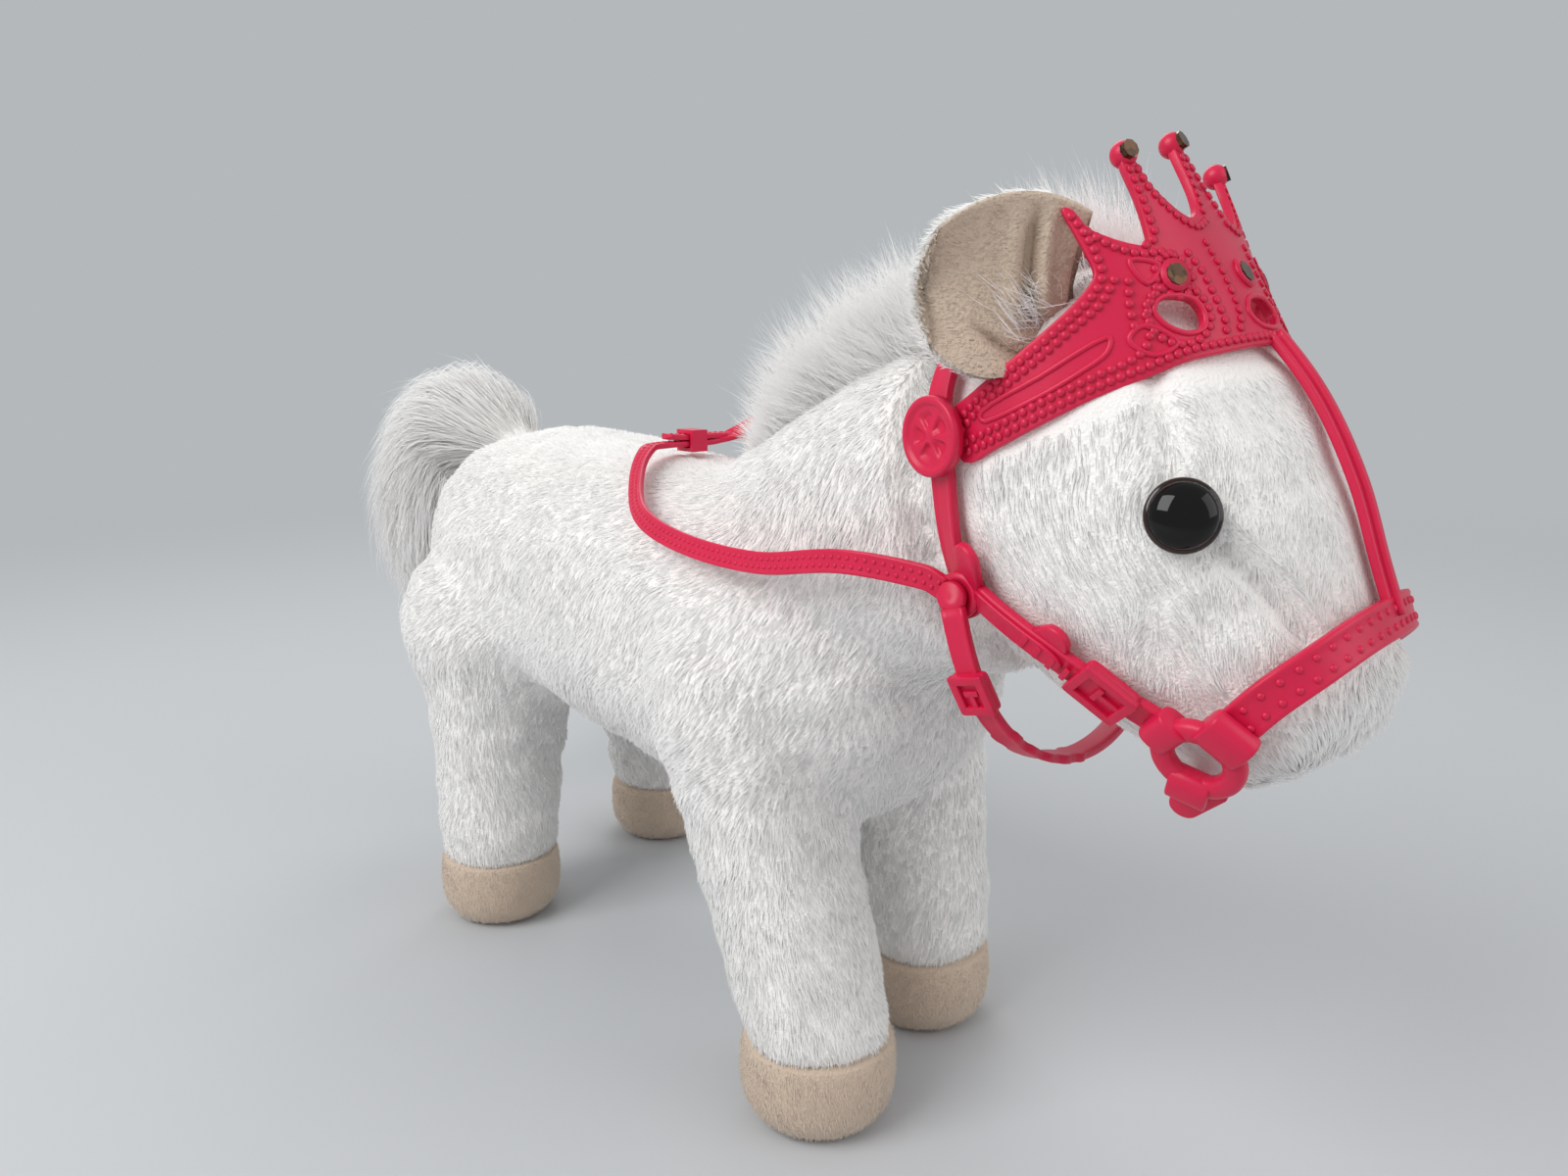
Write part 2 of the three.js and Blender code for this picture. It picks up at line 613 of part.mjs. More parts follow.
// A radial cutter through the sheet, from an outline of [azimuth, height] pairs
function tiaraCutter(outline) {
  const [near, far] = [16, 110];
  const flat = outline.map(([azimuth, height]) => new THREE.Vector2(azimuth, height));
  if (THREE.ShapeUtils.isClockWise(flat)) flat.reverse();
  const count = flat.length;
  const places = [near, far].flatMap((r) => flat.flatMap((p) => tiaraPoint(p.x, p.y, 0, r).toArray()));
  const turns = (a, b, c) => THREE.ShapeUtils.area([flat[a], flat[b], flat[c]]) > 0;
  const flatFaces = THREE.ShapeUtils.triangulateShape(flat, []);
  const caps = flatFaces.map(([a, b, c]) => (turns(a, b, c) ? [a, b, c] : [a, c, b]));
  const faces = caps.flatMap(([a, b, c]) => [a, b, c, count + a, count + c, count + b]);
  for (let i = 0; i < count; i++) {
    const next = (i + 1) % count;
    faces.push(next, i, i + count, next, i + count, next + count);
  }
  const geometry = new THREE.BufferGeometry();
  geometry.setAttribute("position", new THREE.Float32BufferAttribute(places, 3));
  geometry.setIndex(faces);
  return outward(geometry);
}

// Outlines of the tiara's right half; the left half mirrors them
const TIARA_OUTLINE = [
  [-1, 0], [12, 0], [25, -0.1], [35, 0], [46, -0.9], [60, -1.6], [76, -3], [90, -4.2], [97, -4.4],
  [97.5, 5], [91, 7.4], [79, 10], [70, 12.4], [61, 15.2], [54.5, 18], [51.5, 20.5], [52, 25], [53.3, 30],
  [54.3, 34], [52.6, 33.2], [50.2, 29], [46, 26.2], [42, 24.3], [38, 23], [35.3, 22.6], [34.2, 27],
  [34.1, 33], [34.9, PEAK.side - 1.5], [31.2, PEAK.side - 1.5], [28.8, 35.6], [25, 32], [20, 28.8],
  [15, 27.6], [9, 29.5], [5, 35], [2.7, PEAK.centre - 1.5], [-1, PEAK.centre - 1.5],
];
const TIARA_HOLES = [
  [[40.5, 10.4], [38, 12.5], [33, 12.3], [28.3, 10.9], [26.5, 8], [28.2, 5], [33.5, 4.6], [38.4, 7]],
  [[-9, 6.5], [-5, 9.8], [5, 9.8], [9, 6.5], [5, 3.4], [-5, 3.4]],
];
const TIARA_PANELS = [
  [[90, 3.4], [90, 1.2], [74, 1.8], [63, 3.4], [55, 5.4], [54, 8.2], [72.5, 5.3]],
  [[49, 6.2], [45.5, 8.2], [41.5, 7.2], [37.2, 3.6], [40.5, 2.2], [45, 2.6]],
  [[42.6, 21], [35, 18.8], [40, 15.8]],
];
const BEAD_ROWS = [
  [[90, -2.8], [76, -1.8], [60, -0.4], [46, 0.4], [35, 1.4], [24, 1.3], [12, 1.3], [1.5, 1.4]],
  [[90, 5.9], [76, 9.1], [65, 12.2], [55, 15.8], [50, 19.4], [50.3, 24], [51.8, 29.5]],
  [[33.4, 22], [32.6, 26], [32.7, 32], [33, 37]],
  [[20, 27], [14, 26], [7.5, 28], [3.4, 34], [1.6, 40]],
];
const GEM_PLACES = {
  right: [31.5, 16.2],
  centre: [0, 15.5],
  left: [-31.5, 16.2],
};

function beads(row) {
  const line = new THREE.CatmullRomCurve3(row.map(([a, h]) => vec(a * degrees(TIARA_INNER + 2), h, 0)));
  const count = Math.round(line.getLength() / BEAD_PITCH);
  return line.getSpacedPoints(count).map((p) => {
    const centre = tiaraPoint(p.x / degrees(TIARA_INNER + 2), p.y, TIARA_THICKNESS - 0.1);
    return solid(new THREE.OctahedronGeometry(BEAD_RADIUS, 0)).translate(centre.toArray());
  });
}

function peakBall(azimuth, height) {
  return solid(new THREE.SphereGeometry(PEAK.ball, 9, 6)).translate(tiaraPoint(azimuth, height, 1).toArray());
}

// A place on the tiara's outer face, Z outward
function onTiara(made, azimuth, height, out) {
  const up = tiaraPoint(azimuth, height + 1).sub(tiaraPoint(azimuth, height - 1)).normalize();
  const across = tiaraPoint(azimuth + 1, height).sub(tiaraPoint(azimuth - 1, height)).normalize();
  const frame = new THREE.Matrix4().makeBasis(across, up, across.clone().cross(up));
  frame.setPosition(tiaraPoint(azimuth, height, out));
  return moved(made, frame);
}

// A faceted gem about the origin, its table along +Z; grow makes the socket
function gemForm(radius, grow) {
  const profile = [
    [0, -0.9 - grow],
    [radius + grow, -0.9 - grow],
    [radius + grow, 0.3],
    [radius * 0.6, 1.2 + grow],
    [0, 1.2 + grow],
  ];
  return lathe(profile, 8).rotate([90, 0, 0]);
}

function tiaraForm() {
  const half = tiaraCutter(TIARA_OUTLINE);
  let plate = tiaraSheet(0, TIARA_THICKNESS).intersect(half.add(mirrored(half)));
  const holes = TIARA_HOLES.map(tiaraCutter);
  const recess = tiaraSheet(TIARA_THICKNESS - 0.6, TIARA_THICKNESS + 3);
  const panels = TIARA_PANELS.map(tiaraCutter).map((cutter) => recess.intersect(cutter));
  plate = cutBy(plate, ...holes, mirrored(holes[0]), ...panels, ...panels.map(mirrored));
  const right = BEAD_ROWS.flatMap(beads);
  const balls = [peakBall(0, PEAK.centre), peakBall(PEAK.angle, PEAK.side), peakBall(-PEAK.angle, PEAK.side)];
  const sockets = Object.values(GEM_PLACES).map(([a, h]) => onTiara(gemForm(GEM_RADIUS, GAP), a, h, 2));
  return cutBy(joined(plate, ...balls, ...right, ...right.map(mirrored)), ...sockets, ...peakGems(GAP));
}

// The small gems on the front of the peaks' balls
function peakGems(grow) {
  return [
    [0, PEAK.centre],
    [PEAK.angle, PEAK.side],
    [-PEAK.angle, PEAK.side],
  ].map(([azimuth, height]) => onTiara(gemForm(1.5, grow), azimuth, height, PEAK.ball + 0.6));
}

// The space that the tiara presses into the plush
function roomOutline() {
  const half = tiaraCutter([
    [-1, -0.5], [35, -0.5], [60, -2.1], [76, -3.5], [90, -4.7], [99, -4.9], [99, 50], [-1, 50],
  ]);
  return half.add(mirrored(half));
}
const tiaraRoom = () => tiaraSheet(-GAP, TIARA_THICKNESS + 4, 20).intersect(roomOutline());

// Headstall: from one junction up the cheek, under the rosette, over the poll and down the other side
const HEADSTALL_SIDE = [
  [JUNCTION.s - 4, JUNCTION.angle - 4],
  [30, 120],
  [22, 111],
  [ROSETTE_PLACE.s, ROSETTE_PLACE.angle],
  [6, 96],
  [0, 84],
  [-3, 62],
  [-3.6, 30],
];
const headstallRoute = [...HEADSTALL_SIDE, ...HEADSTALL_SIDE.toReversed().map(([s, a]) => [s, -a])];
const CHEEK_ROUTE = [
  [JUNCTION.s + 3, JUNCTION.angle - 8],
  [JUNCTION.s + 7.5, JUNCTION.angle - 10],
  [RING_PLACE.s - 37, RING_PLACE.angle + 10],
  [RING_PLACE.s - 29.5, RING_PLACE.angle + 7.5],
  [RING_PLACE.s - 16, RING_PLACE.angle + 4.5],
  [RING_PLACE.s - 8.5, RING_PLACE.angle + 2],
];
const NOSE_SIDE = [
  [RING_PLACE.s - 0.5, RING_PLACE.angle - 16],
  [RING_PLACE.s - 1.5, 75],
  [RING_PLACE.s - 2, 50],
  [RING_PLACE.s - 2.5, 25],
  [RING_PLACE.s - 2.5, 0],
];
const noseRoute = [...NOSE_SIDE, ...NOSE_SIDE.slice(0, -1).reverse().map(([s, a]) => [s, -a])];
const CHIN_SIDE = [
  [RING_PLACE.s + 3.5, RING_PLACE.angle + 19],
  [RING_PLACE.s + 6, 145],
  [RING_PLACE.s + 6.5, 162],
];
const chinMiddle = [RING_PLACE.s + 6.5, 180];
const chinRoute = [...CHIN_SIDE, chinMiddle, ...CHIN_SIDE.toReversed().map(([s, a]) => [s, 360 - a])];
const FACE_ROUTE = [
  [33, 0],
  [50, 0],
  [RING_PLACE.s - 22.5, 0],
  [RING_PLACE.s - 2.5, 0],
];

const headstallForm = (grow) => strapOnHead(headstallRoute, STRAP_WIDTH, grow, 28);
const cheekForm = (grow) => strapOnHead(CHEEK_ROUTE, STRAP_WIDTH, grow, 8);
const nosebandForm = (grow) => strapOnHead(noseRoute, NOSEBAND_WIDTH, grow, 18);
const chinForm = (grow) => strapOnHead(chinRoute, STRAP_WIDTH, grow, 10);
const faceForm = (grow) => strapOnHead(FACE_ROUTE, STRAP_WIDTH, grow, 8);

// The ring lies flat on the cheek, held off the plush by the straps' sleeves
const RING_LIFT = RING_WIRE + 1.6;
function ringForm(grow) {
  const ring = solid(new THREE.TorusGeometry(RING_RADIUS, RING_WIRE + grow, 6, 18));
  return onHead(ring, RING_PLACE.s, RING_PLACE.angle, RING_LIFT);
}

// The end loop of a strap, closed round the ring at a turn in degrees from the muzzle's side
function ringSleeve(turn, width, grow = 0) {
  const height = RING_WIRE + 1.3 + grow;
  const half = width / 2 + grow;
  const block = box(RING_RADIUS - 2.5 - grow, RING_RADIUS + 3.6 + grow, -half, half, -height, height);
  return onHead(block.rotate([0, 0, turn]), RING_PLACE.s, RING_PLACE.angle, RING_LIFT);
}
const CHEEK_TURN = 178;
const NOSE_TURN = 90;
const CHIN_TURN = 262;

// A buckle frame lying on a strap, with its tongue
function buckle(length, width) {
  const [top, bottom] = [STRAP_THICKNESS + 1, STRAP_THICKNESS - 1];
  const frame = box(-length / 2, length / 2, -width / 2, width / 2, bottom, top);
  const [openX, openY] = [length / 2 - 1.4, width / 2 - 1.4];
  const opening = box(-openX, openX, -openY, openY, top - 0.8, top + 1);
  const tongue = box(1 - length / 2, length / 2 - 1, -0.7, 0.7, bottom, top);
  return cutBy(frame, opening).add(tongue);
}

// Junction: an upright eye plate with a boss that the rein and throat strap turn on
const junction = headPoint(JUNCTION.s, JUNCTION.angle);
const EYE_PLATE = { radius: 5.4, inner: 36.2, outer: 38.2 }; // distances from the middle plane
const BOSS_RADIUS = 2.6;
const BOSS_END = EYE_PLATE.outer + 2.6;
const SNAP_PIN_RADIUS = 1.3;

function eyePlate(grow) {
  const { radius, inner, outer } = EYE_PLATE;
  return rodY(radius + grow, -outer - grow, -inner + grow, junction.x, junction.z, 18);
}

const snapHole = () =>
  rodY(SNAP_PIN_RADIUS + RUNNING, -BOSS_END - 1, -EYE_PLATE.inner - 0.6, junction.x, junction.z, 16);

// The space of the rein's ring beside the eye plate
const ringSpace = () => rodY(5 + GAP, -BOSS_END - 4, -EYE_PLATE.outer, junction.x, junction.z, 18);

function junctionBoss() {
  const boss = rodY(BOSS_RADIUS, -BOSS_END, -EYE_PLATE.outer + 0.5, junction.x, junction.z);
  return cutBy(eyePlate(0).add(boss), snapHole());
}

// Throat strap: a U under the jaw between its two snap pins
function throatForm() {
  const start = -BOSS_END - GAP;
  const steps = 14;
  const places = Array.from({ length: steps + 1 }, (_, i) => 0.015 + (i / steps) * (Math.PI - 0.03));
  const drop = (t) => Math.sin(t) ** 0.7;
  const points = places.map((t) =>
    vec(junction.x + 11 * drop(t), start * Math.cos(t), junction.z + (THROAT_LOW_Z - junction.z) * drop(t)),
  );
  const normals = places.map((t) => vec(0, -Math.cos(t), -Math.sin(t)));
  const strap = ribbon(points, normals, 5.6, STRAP_THICKNESS);
  const end = rodY(3.4, start - 1.8, start, junction.x, junction.z, 16);
  const pin = rodY(SNAP_PIN_RADIUS, start - 1, start + 3, junction.x, junction.z, 16);
  const side = end.add(pin);
  return joined(strap, side, mirrored(side));
}

// Reins lie along the neck, cross the back and end in a keeper; the straps' inner faces are on these points
const KEEPER = { x: -6, halfLength: 3, wall: 1.2, bottom: BACK_Z + 1.2 };
const REIN_Z = KEEPER.bottom + KEEPER.wall + GAP;
function reinForm(side) {
  const inner = EYE_PLATE.outer + GAP;
  const first = lookingPoint(vec(junction.x - 3.5, side * inner, junction.z + 1));
  const second = lookingPoint(vec(junction.x - 8, side * (inner + 1), junction.z + 3));
  const level = REIN_Z + (side === LEFT ? REIN_THICKNESS + GAP : 0);
  const rows = [
    [...first.toArray(), 0, side, 0],
    [...second.toArray(), 0, side, 0],
    [neckX(0.936), side * 46, NOD_AXIS.z - 5, 0, side, 0.1],
    [neckX(0.605), side * 47, BACK_Z - 16.5, 0, side, 0.25],
    [neckX(0.24), side * 46.5, BACK_Z - 16, -0.15, side, 0.35],
    [neckX(-0.046), side * 42.5, BACK_Z - 12, -0.35, side, 0.5],
    [neckX(-0.274), side * 31, BACK_Z - 4.5, -0.3, side, 1],
    [KEEPER.x + 2, side * 18, level - 0.6, 0, side * 0.25, 1],
    [KEEPER.x, side * 11, level, 0, 0, 1],
    [KEEPER.x, side * -3, level, 0, 0, 1],
    [KEEPER.x, side * -10, level, 0, 0, 1],
  ];
  const line = new THREE.CatmullRomCurve3(rows.map(([x, y, z]) => vec(x, y, z)), false, "centripetal");
  const steps = 22;
  const normals = Array.from({ length: steps + 1 }, (_, i) => {
    const place = (i / steps) * (rows.length - 1);
    const row = Math.min(Math.floor(place), rows.length - 2);
    const [before, after] = [rows[row], rows[row + 1]].map((r) => vec(r[3], r[4], r[5]).normalize());
    return before.lerp(after, place - row).normalize();
  });
  const strap = ribbon(line.getPoints(steps), normals, REIN_WIDTH, REIN_THICKNESS);
  const ring = rodY(5, -inner - REIN_THICKNESS, -inner, junction.x, junction.z, 18);
  const hole = rodY(BOSS_RADIUS + RUNNING, -inner - 6, -inner + 6, junction.x, junction.z, 20);
  const [turnedRing, turnedHole] = [ring, hole].map((made) => looking(side === LEFT ? mirrored(made) : made));
  return cutBy(strap.add(turnedRing), turnedHole);
}

function keeperForm() {
  const { x, halfLength, wall, bottom } = KEEPER;
  const top = REIN_Z + 2 * REIN_THICKNESS + 2 * GAP;
  const half = REIN_WIDTH / 2 + GAP;
  const outside = box(x - half - wall, x + half + wall, -halfLength, halfLength, bottom, top + wall);
  return cutBy(outside, box(x - half, x + half, -halfLength - 1, halfLength + 1, bottom + wall, top));
}

// Rosette with a sunk five-petal flower
function rosette(grow) {
  const [radius, thickness] = [ROSETTE_RADIUS + grow, ROSETTE_THICKNESS + grow];
  const profile = [
    [0, -grow],
    [radius, -grow],
    [radius, thickness - 0.8],
    [radius - 0.8, thickness],
    [0, thickness],
  ];
  const disc = lathe(profile, 20).rotate([90, 0, 0]);
  if (grow) return disc;
  const petals = Array.from({ length: 5 }, (_, i) => {
    const turn = (i / 5) * 2 * Math.PI;
    return rodZ(1.8, thickness - 0.5, thickness + 1, 3.1 * Math.cos(turn), 3.1 * Math.sin(turn), 6);
  });
  return cutBy(disc, ...petals, rodZ(1.1, thickness - 0.9, thickness + 1, 0, 0, 6));
}
const onRosettePlace = (made) =>
  onHead(made, ROSETTE_PLACE.s, ROSETTE_PLACE.angle, STRAP_LIFT + STRAP_THICKNESS + GAP);

// Eye: a domed button on a shank
function eyeForm() {
  const { radius, dome } = EYE;
  const arc = Array.from({ length: 4 }, (_, i) => {
    const turn = (i / 4) * (Math.PI / 2);
    return [radius * Math.cos(turn), 1 + (dome - 1) * Math.sin(turn)];
  });
  const shank = [
    [0, -EYE_SHANK.length],
    [EYE_SHANK.radius, -EYE_SHANK.length],
    [EYE_SHANK.radius, 0],
  ];
  const flange = [
    [radius + 0.6, 0],
    [radius + 0.6, 0.8],
  ];
  return lathe([...shank, ...flange, ...arc, [0, dome]], 16).rotate([90, 0, 0]);
}

function eyeRoom() {
  const shank = rodZ(EYE_SHANK.radius + GAP, -EYE_SHANK.length - GAP, 1, 0, 0, 16);
  return shank.add(rodZ(EYE.radius + 0.9, -GAP, 5, 0, 0, 24));
}
const onEyePlace = (made) => onHead(made, EYE.s, EYE.angle, 0);

// The ear turns a little about its seam, so its root is cut clear of the head through that range
const earRoot = vec(EAR.x, -EAR.y, EAR.z);
function aboutEar(made, angle) {
  const turn = new THREE.Matrix4().makeRotationAxis(earAcross, degrees(angle));
  const frame = new THREE.Matrix4().makeTranslation(earRoot).multiply(turn);
  return moved(made, frame.multiply(new THREE.Matrix4().makeTranslation(earRoot.clone().negate())));
}
const earAngles = [-EAR_FLOP - 1, 0, EAR_FLOP + 1];
const earClear = () => earAngles.map((angle) => aboutEar(headForm(GAP), angle));

// and clear of the tiara's band beside it
function bandClear() {
  const band = tiaraCutter([
    [40, -6], [99, -6], [99, 6], [79, 11], [70, 13.5], [61, 16.5], [56, 19.5], [55.5, 25], [56.5, 36],
    [40, 36],
  ]);
  const sheet = tiaraSheet(-1, TIARA_THICKNESS + 25).intersect(band);
  return earAngles.map((angle) => aboutEar(sheet, angle));
}

// Neck post and head bracket, about the nod axis at the origin with the post along -X
const throughPost = (made) => made.rotate([0, -POST_TILT, 0]).translate([NOD_AXIS.x, 0, NOD_AXIS.z]);
const CENTRES = (GEAR_MODULE * (SECTOR_TEETH + PINION_TEETH)) / 2;
const SLOT_DEPTH = CENTRES + (GEAR_MODULE * PINION_TEETH) / 2 + 2;
const POST_REACH = (NOD_AXIS.x - MODULE_FRONT) / Math.cos(degrees(POST_TILT)) + 28; // past the housing's face

function postForm(grow) {
  const [half, tall] = [POST_HALF_WIDTH + grow, POST_HALF_HEIGHT + grow];
  const bar = box(-POST_REACH, 0, -half, half, -tall, tall).add(rodY(tall, -half, half, 0, 0, 24));
  return cutBy(throughPost(bar), box(-60, MODULE_FRONT + GAP, -60, 60, 40, 200));
}

function neckPost() {
  const holes = rodY(PIN_RADIUS + RUNNING, -20, 20, 0, 0, 24);
  const slot = box(-SLOT_DEPTH, 20, -FORK_HALF_GAP, FORK_HALF_GAP, -20, 20);
  const shaftHole = rodY(2, 0, 20, -CENTRES, 0, 16);
  const face = MODULE_FRONT + GAP;
  const flange = box(face, face + 3, -16, 16, MODULE_SPLIT_Z - 8, MODULE_TOP_Z - 4);
  return cutBy(postForm(0), throughPost(slot), throughPost(holes), throughPost(shaftHole)).add(flange);
}

// An involute outline about the origin: count of a gear's teeth, the first one centred on firstAngle from +X
function gearOutline(teeth, count, firstAngle) {
  const pitch = (GEAR_MODULE * teeth) / 2;
  const base = pitch * Math.cos(degrees(20));
  const [tip, root] = [pitch + 0.8 * GEAR_MODULE, pitch - 1.05 * GEAR_MODULE];
  const involute = (r) => {
    const lift = Math.acos(Math.min(base / r, 1));
    return Math.tan(lift) - lift;
  };
  const halfTooth = (Math.PI * GEAR_MODULE - BACKLASH) / 4 / pitch;
  const half = (r) => halfTooth + involute(pitch) - involute(Math.max(r, base));
  const radii = [root, pitch, tip];
  const outline = [];
  for (let i = 0; i < count; i++) {
    const middle = firstAngle + (i / teeth) * 2 * Math.PI;
    const flank = (r, turn) => outline.push([r * Math.cos(turn), r * Math.sin(turn)]);
    radii.forEach((r) => flank(r, middle - half(r)));
    radii.toReversed().forEach((r) => flank(r, middle + half(r)));
  }
  return outline;
}

// Head bracket: hub, toothed sector behind it, and a paddle inside the head
function bracketForm() {
  const count = 2 * Math.round((SECTOR_HALF_ANGLE / 360) * SECTOR_TEETH) + 1;
  const first = Math.PI - ((count - 1) / 2 / SECTOR_TEETH) * 2 * Math.PI;
  const sector = plateY([[0, 0], ...gearOutline(SECTOR_TEETH, count, first)], -GEAR_FACE / 2, GEAR_FACE / 2);
  const hub = rodY(7.4, -FORK_HALF_GAP + 0.4, FORK_HALF_GAP - 0.4, 0, 0, 24);
  const web = box(0, 17, -FORK_HALF_GAP + 0.4, FORK_HALF_GAP - 0.4, -5.5, 5.5);
  const paddle = box(16, 19, -18, 18, -15, 15);
  return throughPost(cutBy(joined(sector, hub, web, paddle), rodY(PIN_RADIUS + RUNNING, -20, 20, 0, 0, 24)));
}

function pinionForm() {
  const teeth = plateY(gearOutline(PINION_TEETH, PINION_TEETH, Math.PI / PINION_TEETH), -3, 3);
  const hub = rodY(3.4, 2, FORK_HALF_GAP - 0.6, 0, 0, 20);
  return throughPost(cutBy(teeth.add(hub), rodY(1.3, -10, 10, 0, 0, 20)).translate([-CENTRES, 0, 0]));
}

function gearmotorForm() {
  const gearbox = box(-6, 6, POST_HALF_WIDTH + GAP, 21, -5, 5);
  const can = rodY(5, 20, 31, 0, 0, 20);
  const shaft = rodY(1.2, -4, 12, 0, 0, 20);
  return throughPost(joined(gearbox, can, shaft).translate([-CENTRES, 0, 0]));
}

function pivotPinForm() {
  const shaft = rodY(PIN_RADIUS, -POST_HALF_WIDTH - 1, POST_HALF_WIDTH + 1, 0, 0, 24);
  const end = rodY(4, -POST_HALF_WIDTH - 1.5, -POST_HALF_WIDTH - GAP, 0, 0, 20);
  return throughPost(joined(shaft, end, mirrored(end)));
}

// The space kept for the mechanism in the head, and in the torso and neck
function bracketRoom() {
  const swing = degrees(NOD_DOWN + 2);
  const reach = BALL_BACK + 8;
  const open = (POST_HALF_HEIGHT + 1) / Math.cos(swing) + reach * Math.tan(swing);
  const start = POST_HALF_HEIGHT + 1.5;
  const wedge = [
    [0, -start],
    [0, start],
    [-reach, open],
    [-reach, -open],
  ];
  const side = POST_HALF_WIDTH + 2.4;
  const hub = rodY(POST_HALF_HEIGHT + 1.5, -side, side, 0, 0, 24);
  const web = box(0, 17, -FORK_HALF_GAP, FORK_HALF_GAP, -5.8, 5.8);
  const paddle = box(16 - GAP, 19 + GAP, -18 - GAP, 18 + GAP, -15 - GAP, 15 + GAP);
  return throughPost(joined(plateY(wedge, -side, side), hub, web, paddle));
}

function neckRoom() {
  const motor = box(-7, 7, 0, 32, -6, 6).translate([-CENTRES, 0, 0]);
  const flange = box(MODULE_FRONT - 1, MODULE_FRONT + 4, -17, 17, MODULE_SPLIT_Z - 9, MODULE_TOP_Z - 3);
  return joined(postForm(0.8), throughPost(motor), flange);
}

// Battery module
const housingBox = (grow, z0, z1) =>
  box(MODULE_BACK - grow, MODULE_FRONT + grow, -MODULE_HALF_WIDTH - grow, MODULE_HALF_WIDTH + grow, z0, z1);
const BAY_TOP_Z = MODULE_BOTTOM_Z + 18;
const CELL_Z = BAY_TOP_Z - CELL_RADIUS - GAP;
const SCREW = { x: BAY_X, y: BAY_HALF_WIDTH + 3.2, radius: 1.3 };
const TAB_HALF = 5;
const STUB_RADIUS = 1.1;
const SWITCH = { x: MODULE_FRONT - 5.5, halfKnob: 1.6, halfBase: 3.2 };
const doorAxis = { y: -BAY_HALF_WIDTH + DOOR_AXIS_INSET, z: MODULE_BOTTOM_Z + DOOR_THICKNESS / 2 };

function housingLower() {
  const outside = housingBox(0, MODULE_BOTTOM_Z, MODULE_SPLIT_Z);
  const [x0, x1] = [BAY_X - BAY_HALF_LENGTH, BAY_X + BAY_HALF_LENGTH];
  const bay = box(x0, x1, -BAY_HALF_WIDTH, BAY_HALF_WIDTH, MODULE_BOTTOM_Z - 1, BAY_TOP_Z);
  const tab = box(
    SCREW.x - TAB_HALF, SCREW.x + TAB_HALF, BAY_HALF_WIDTH - 1, MODULE_HALF_WIDTH + 1,
    MODULE_BOTTOM_Z - 1, MODULE_BOTTOM_Z + DOOR_THICKNESS + DOOR_PLAY,
  );
  const screwHole = rodZ(SCREW.radius + 0.8, MODULE_BOTTOM_Z, MODULE_BOTTOM_Z + 7, SCREW.x, SCREW.y, 16);
  const hingeHole = rodX(STUB_RADIUS + RUNNING, x0 - 2.6, x1 + 2.6, doorAxis.y, doorAxis.z, 16);
  const [rearWall, frontWall] = [MODULE_BACK + WALL, MODULE_FRONT - WALL];
  const above = box(rearWall, frontWall, -BAY_HALF_WIDTH, BAY_HALF_WIDTH, BAY_TOP_Z + WALL, 200);
  const front = box(x1 + 1.6, MODULE_FRONT - WALL, -BAY_HALF_WIDTH, BAY_HALF_WIDTH, MODULE_BOTTOM_Z + 2, 200);
  const slot = box(
    SWITCH.x - SWITCH.halfKnob - 0.2, SWITCH.x + SWITCH.halfKnob + 0.2,
    -4.3 - SWITCH_TRAVEL / 2, 4.3 + SWITCH_TRAVEL / 2,
    MODULE_BOTTOM_Z - 1, MODULE_BOTTOM_Z + 3,
  );
  return cutBy(outside, bay, tab, screwHole, hingeHole, above, front, slot);
}

function housingUpper() {
  const outside = housingBox(0, MODULE_SPLIT_Z + GAP, MODULE_TOP_Z);
  const inside = housingBox(-WALL, MODULE_SPLIT_Z - 1, MODULE_TOP_Z - WALL);
  const grille = [-10, -5, 0, 5, 10].map((y) => {
    const half = Math.sqrt(14 ** 2 - y ** 2);
    return box(SPEAKER_X - half, SPEAKER_X + half, y - 1, y + 1, MODULE_TOP_Z - 5, MODULE_TOP_Z + 1);
  });
  return cutBy(outside, inside, ...grille);
}

function speakerForm() {
  const top = MODULE_TOP_Z - WALL - GAP;
  const profile = [
    [0, -11],
    [9, -11],
    [9, -5],
    [17, -2.5],
    [18, -2.5],
    [18, 0],
    [15.5, 0],
    [6, -3],
    [0, -2.4],
  ];
  return lathe(profile, 18).rotate([90, 0, 0]).translate([SPEAKER_X, 0, top]);
}

function circuitBoard() {
  const z = MODULE_SPLIT_Z + GAP;
  const board = box(MODULE_BACK + WALL + 1, MODULE_FRONT - WALL - 1, -27, 27, z, z + 1.6);
  const chip = box(-2, 10, 8, 20, z + 1.5, z + 3.6);
  const capacitor = rodZ(3.2, z + 1.5, z + 9, 20, -16, 14);
  const connector = box(12, 22, 20, 26, z + 1.5, z + 7);
  return joined(board, chip, capacitor, connector);
}

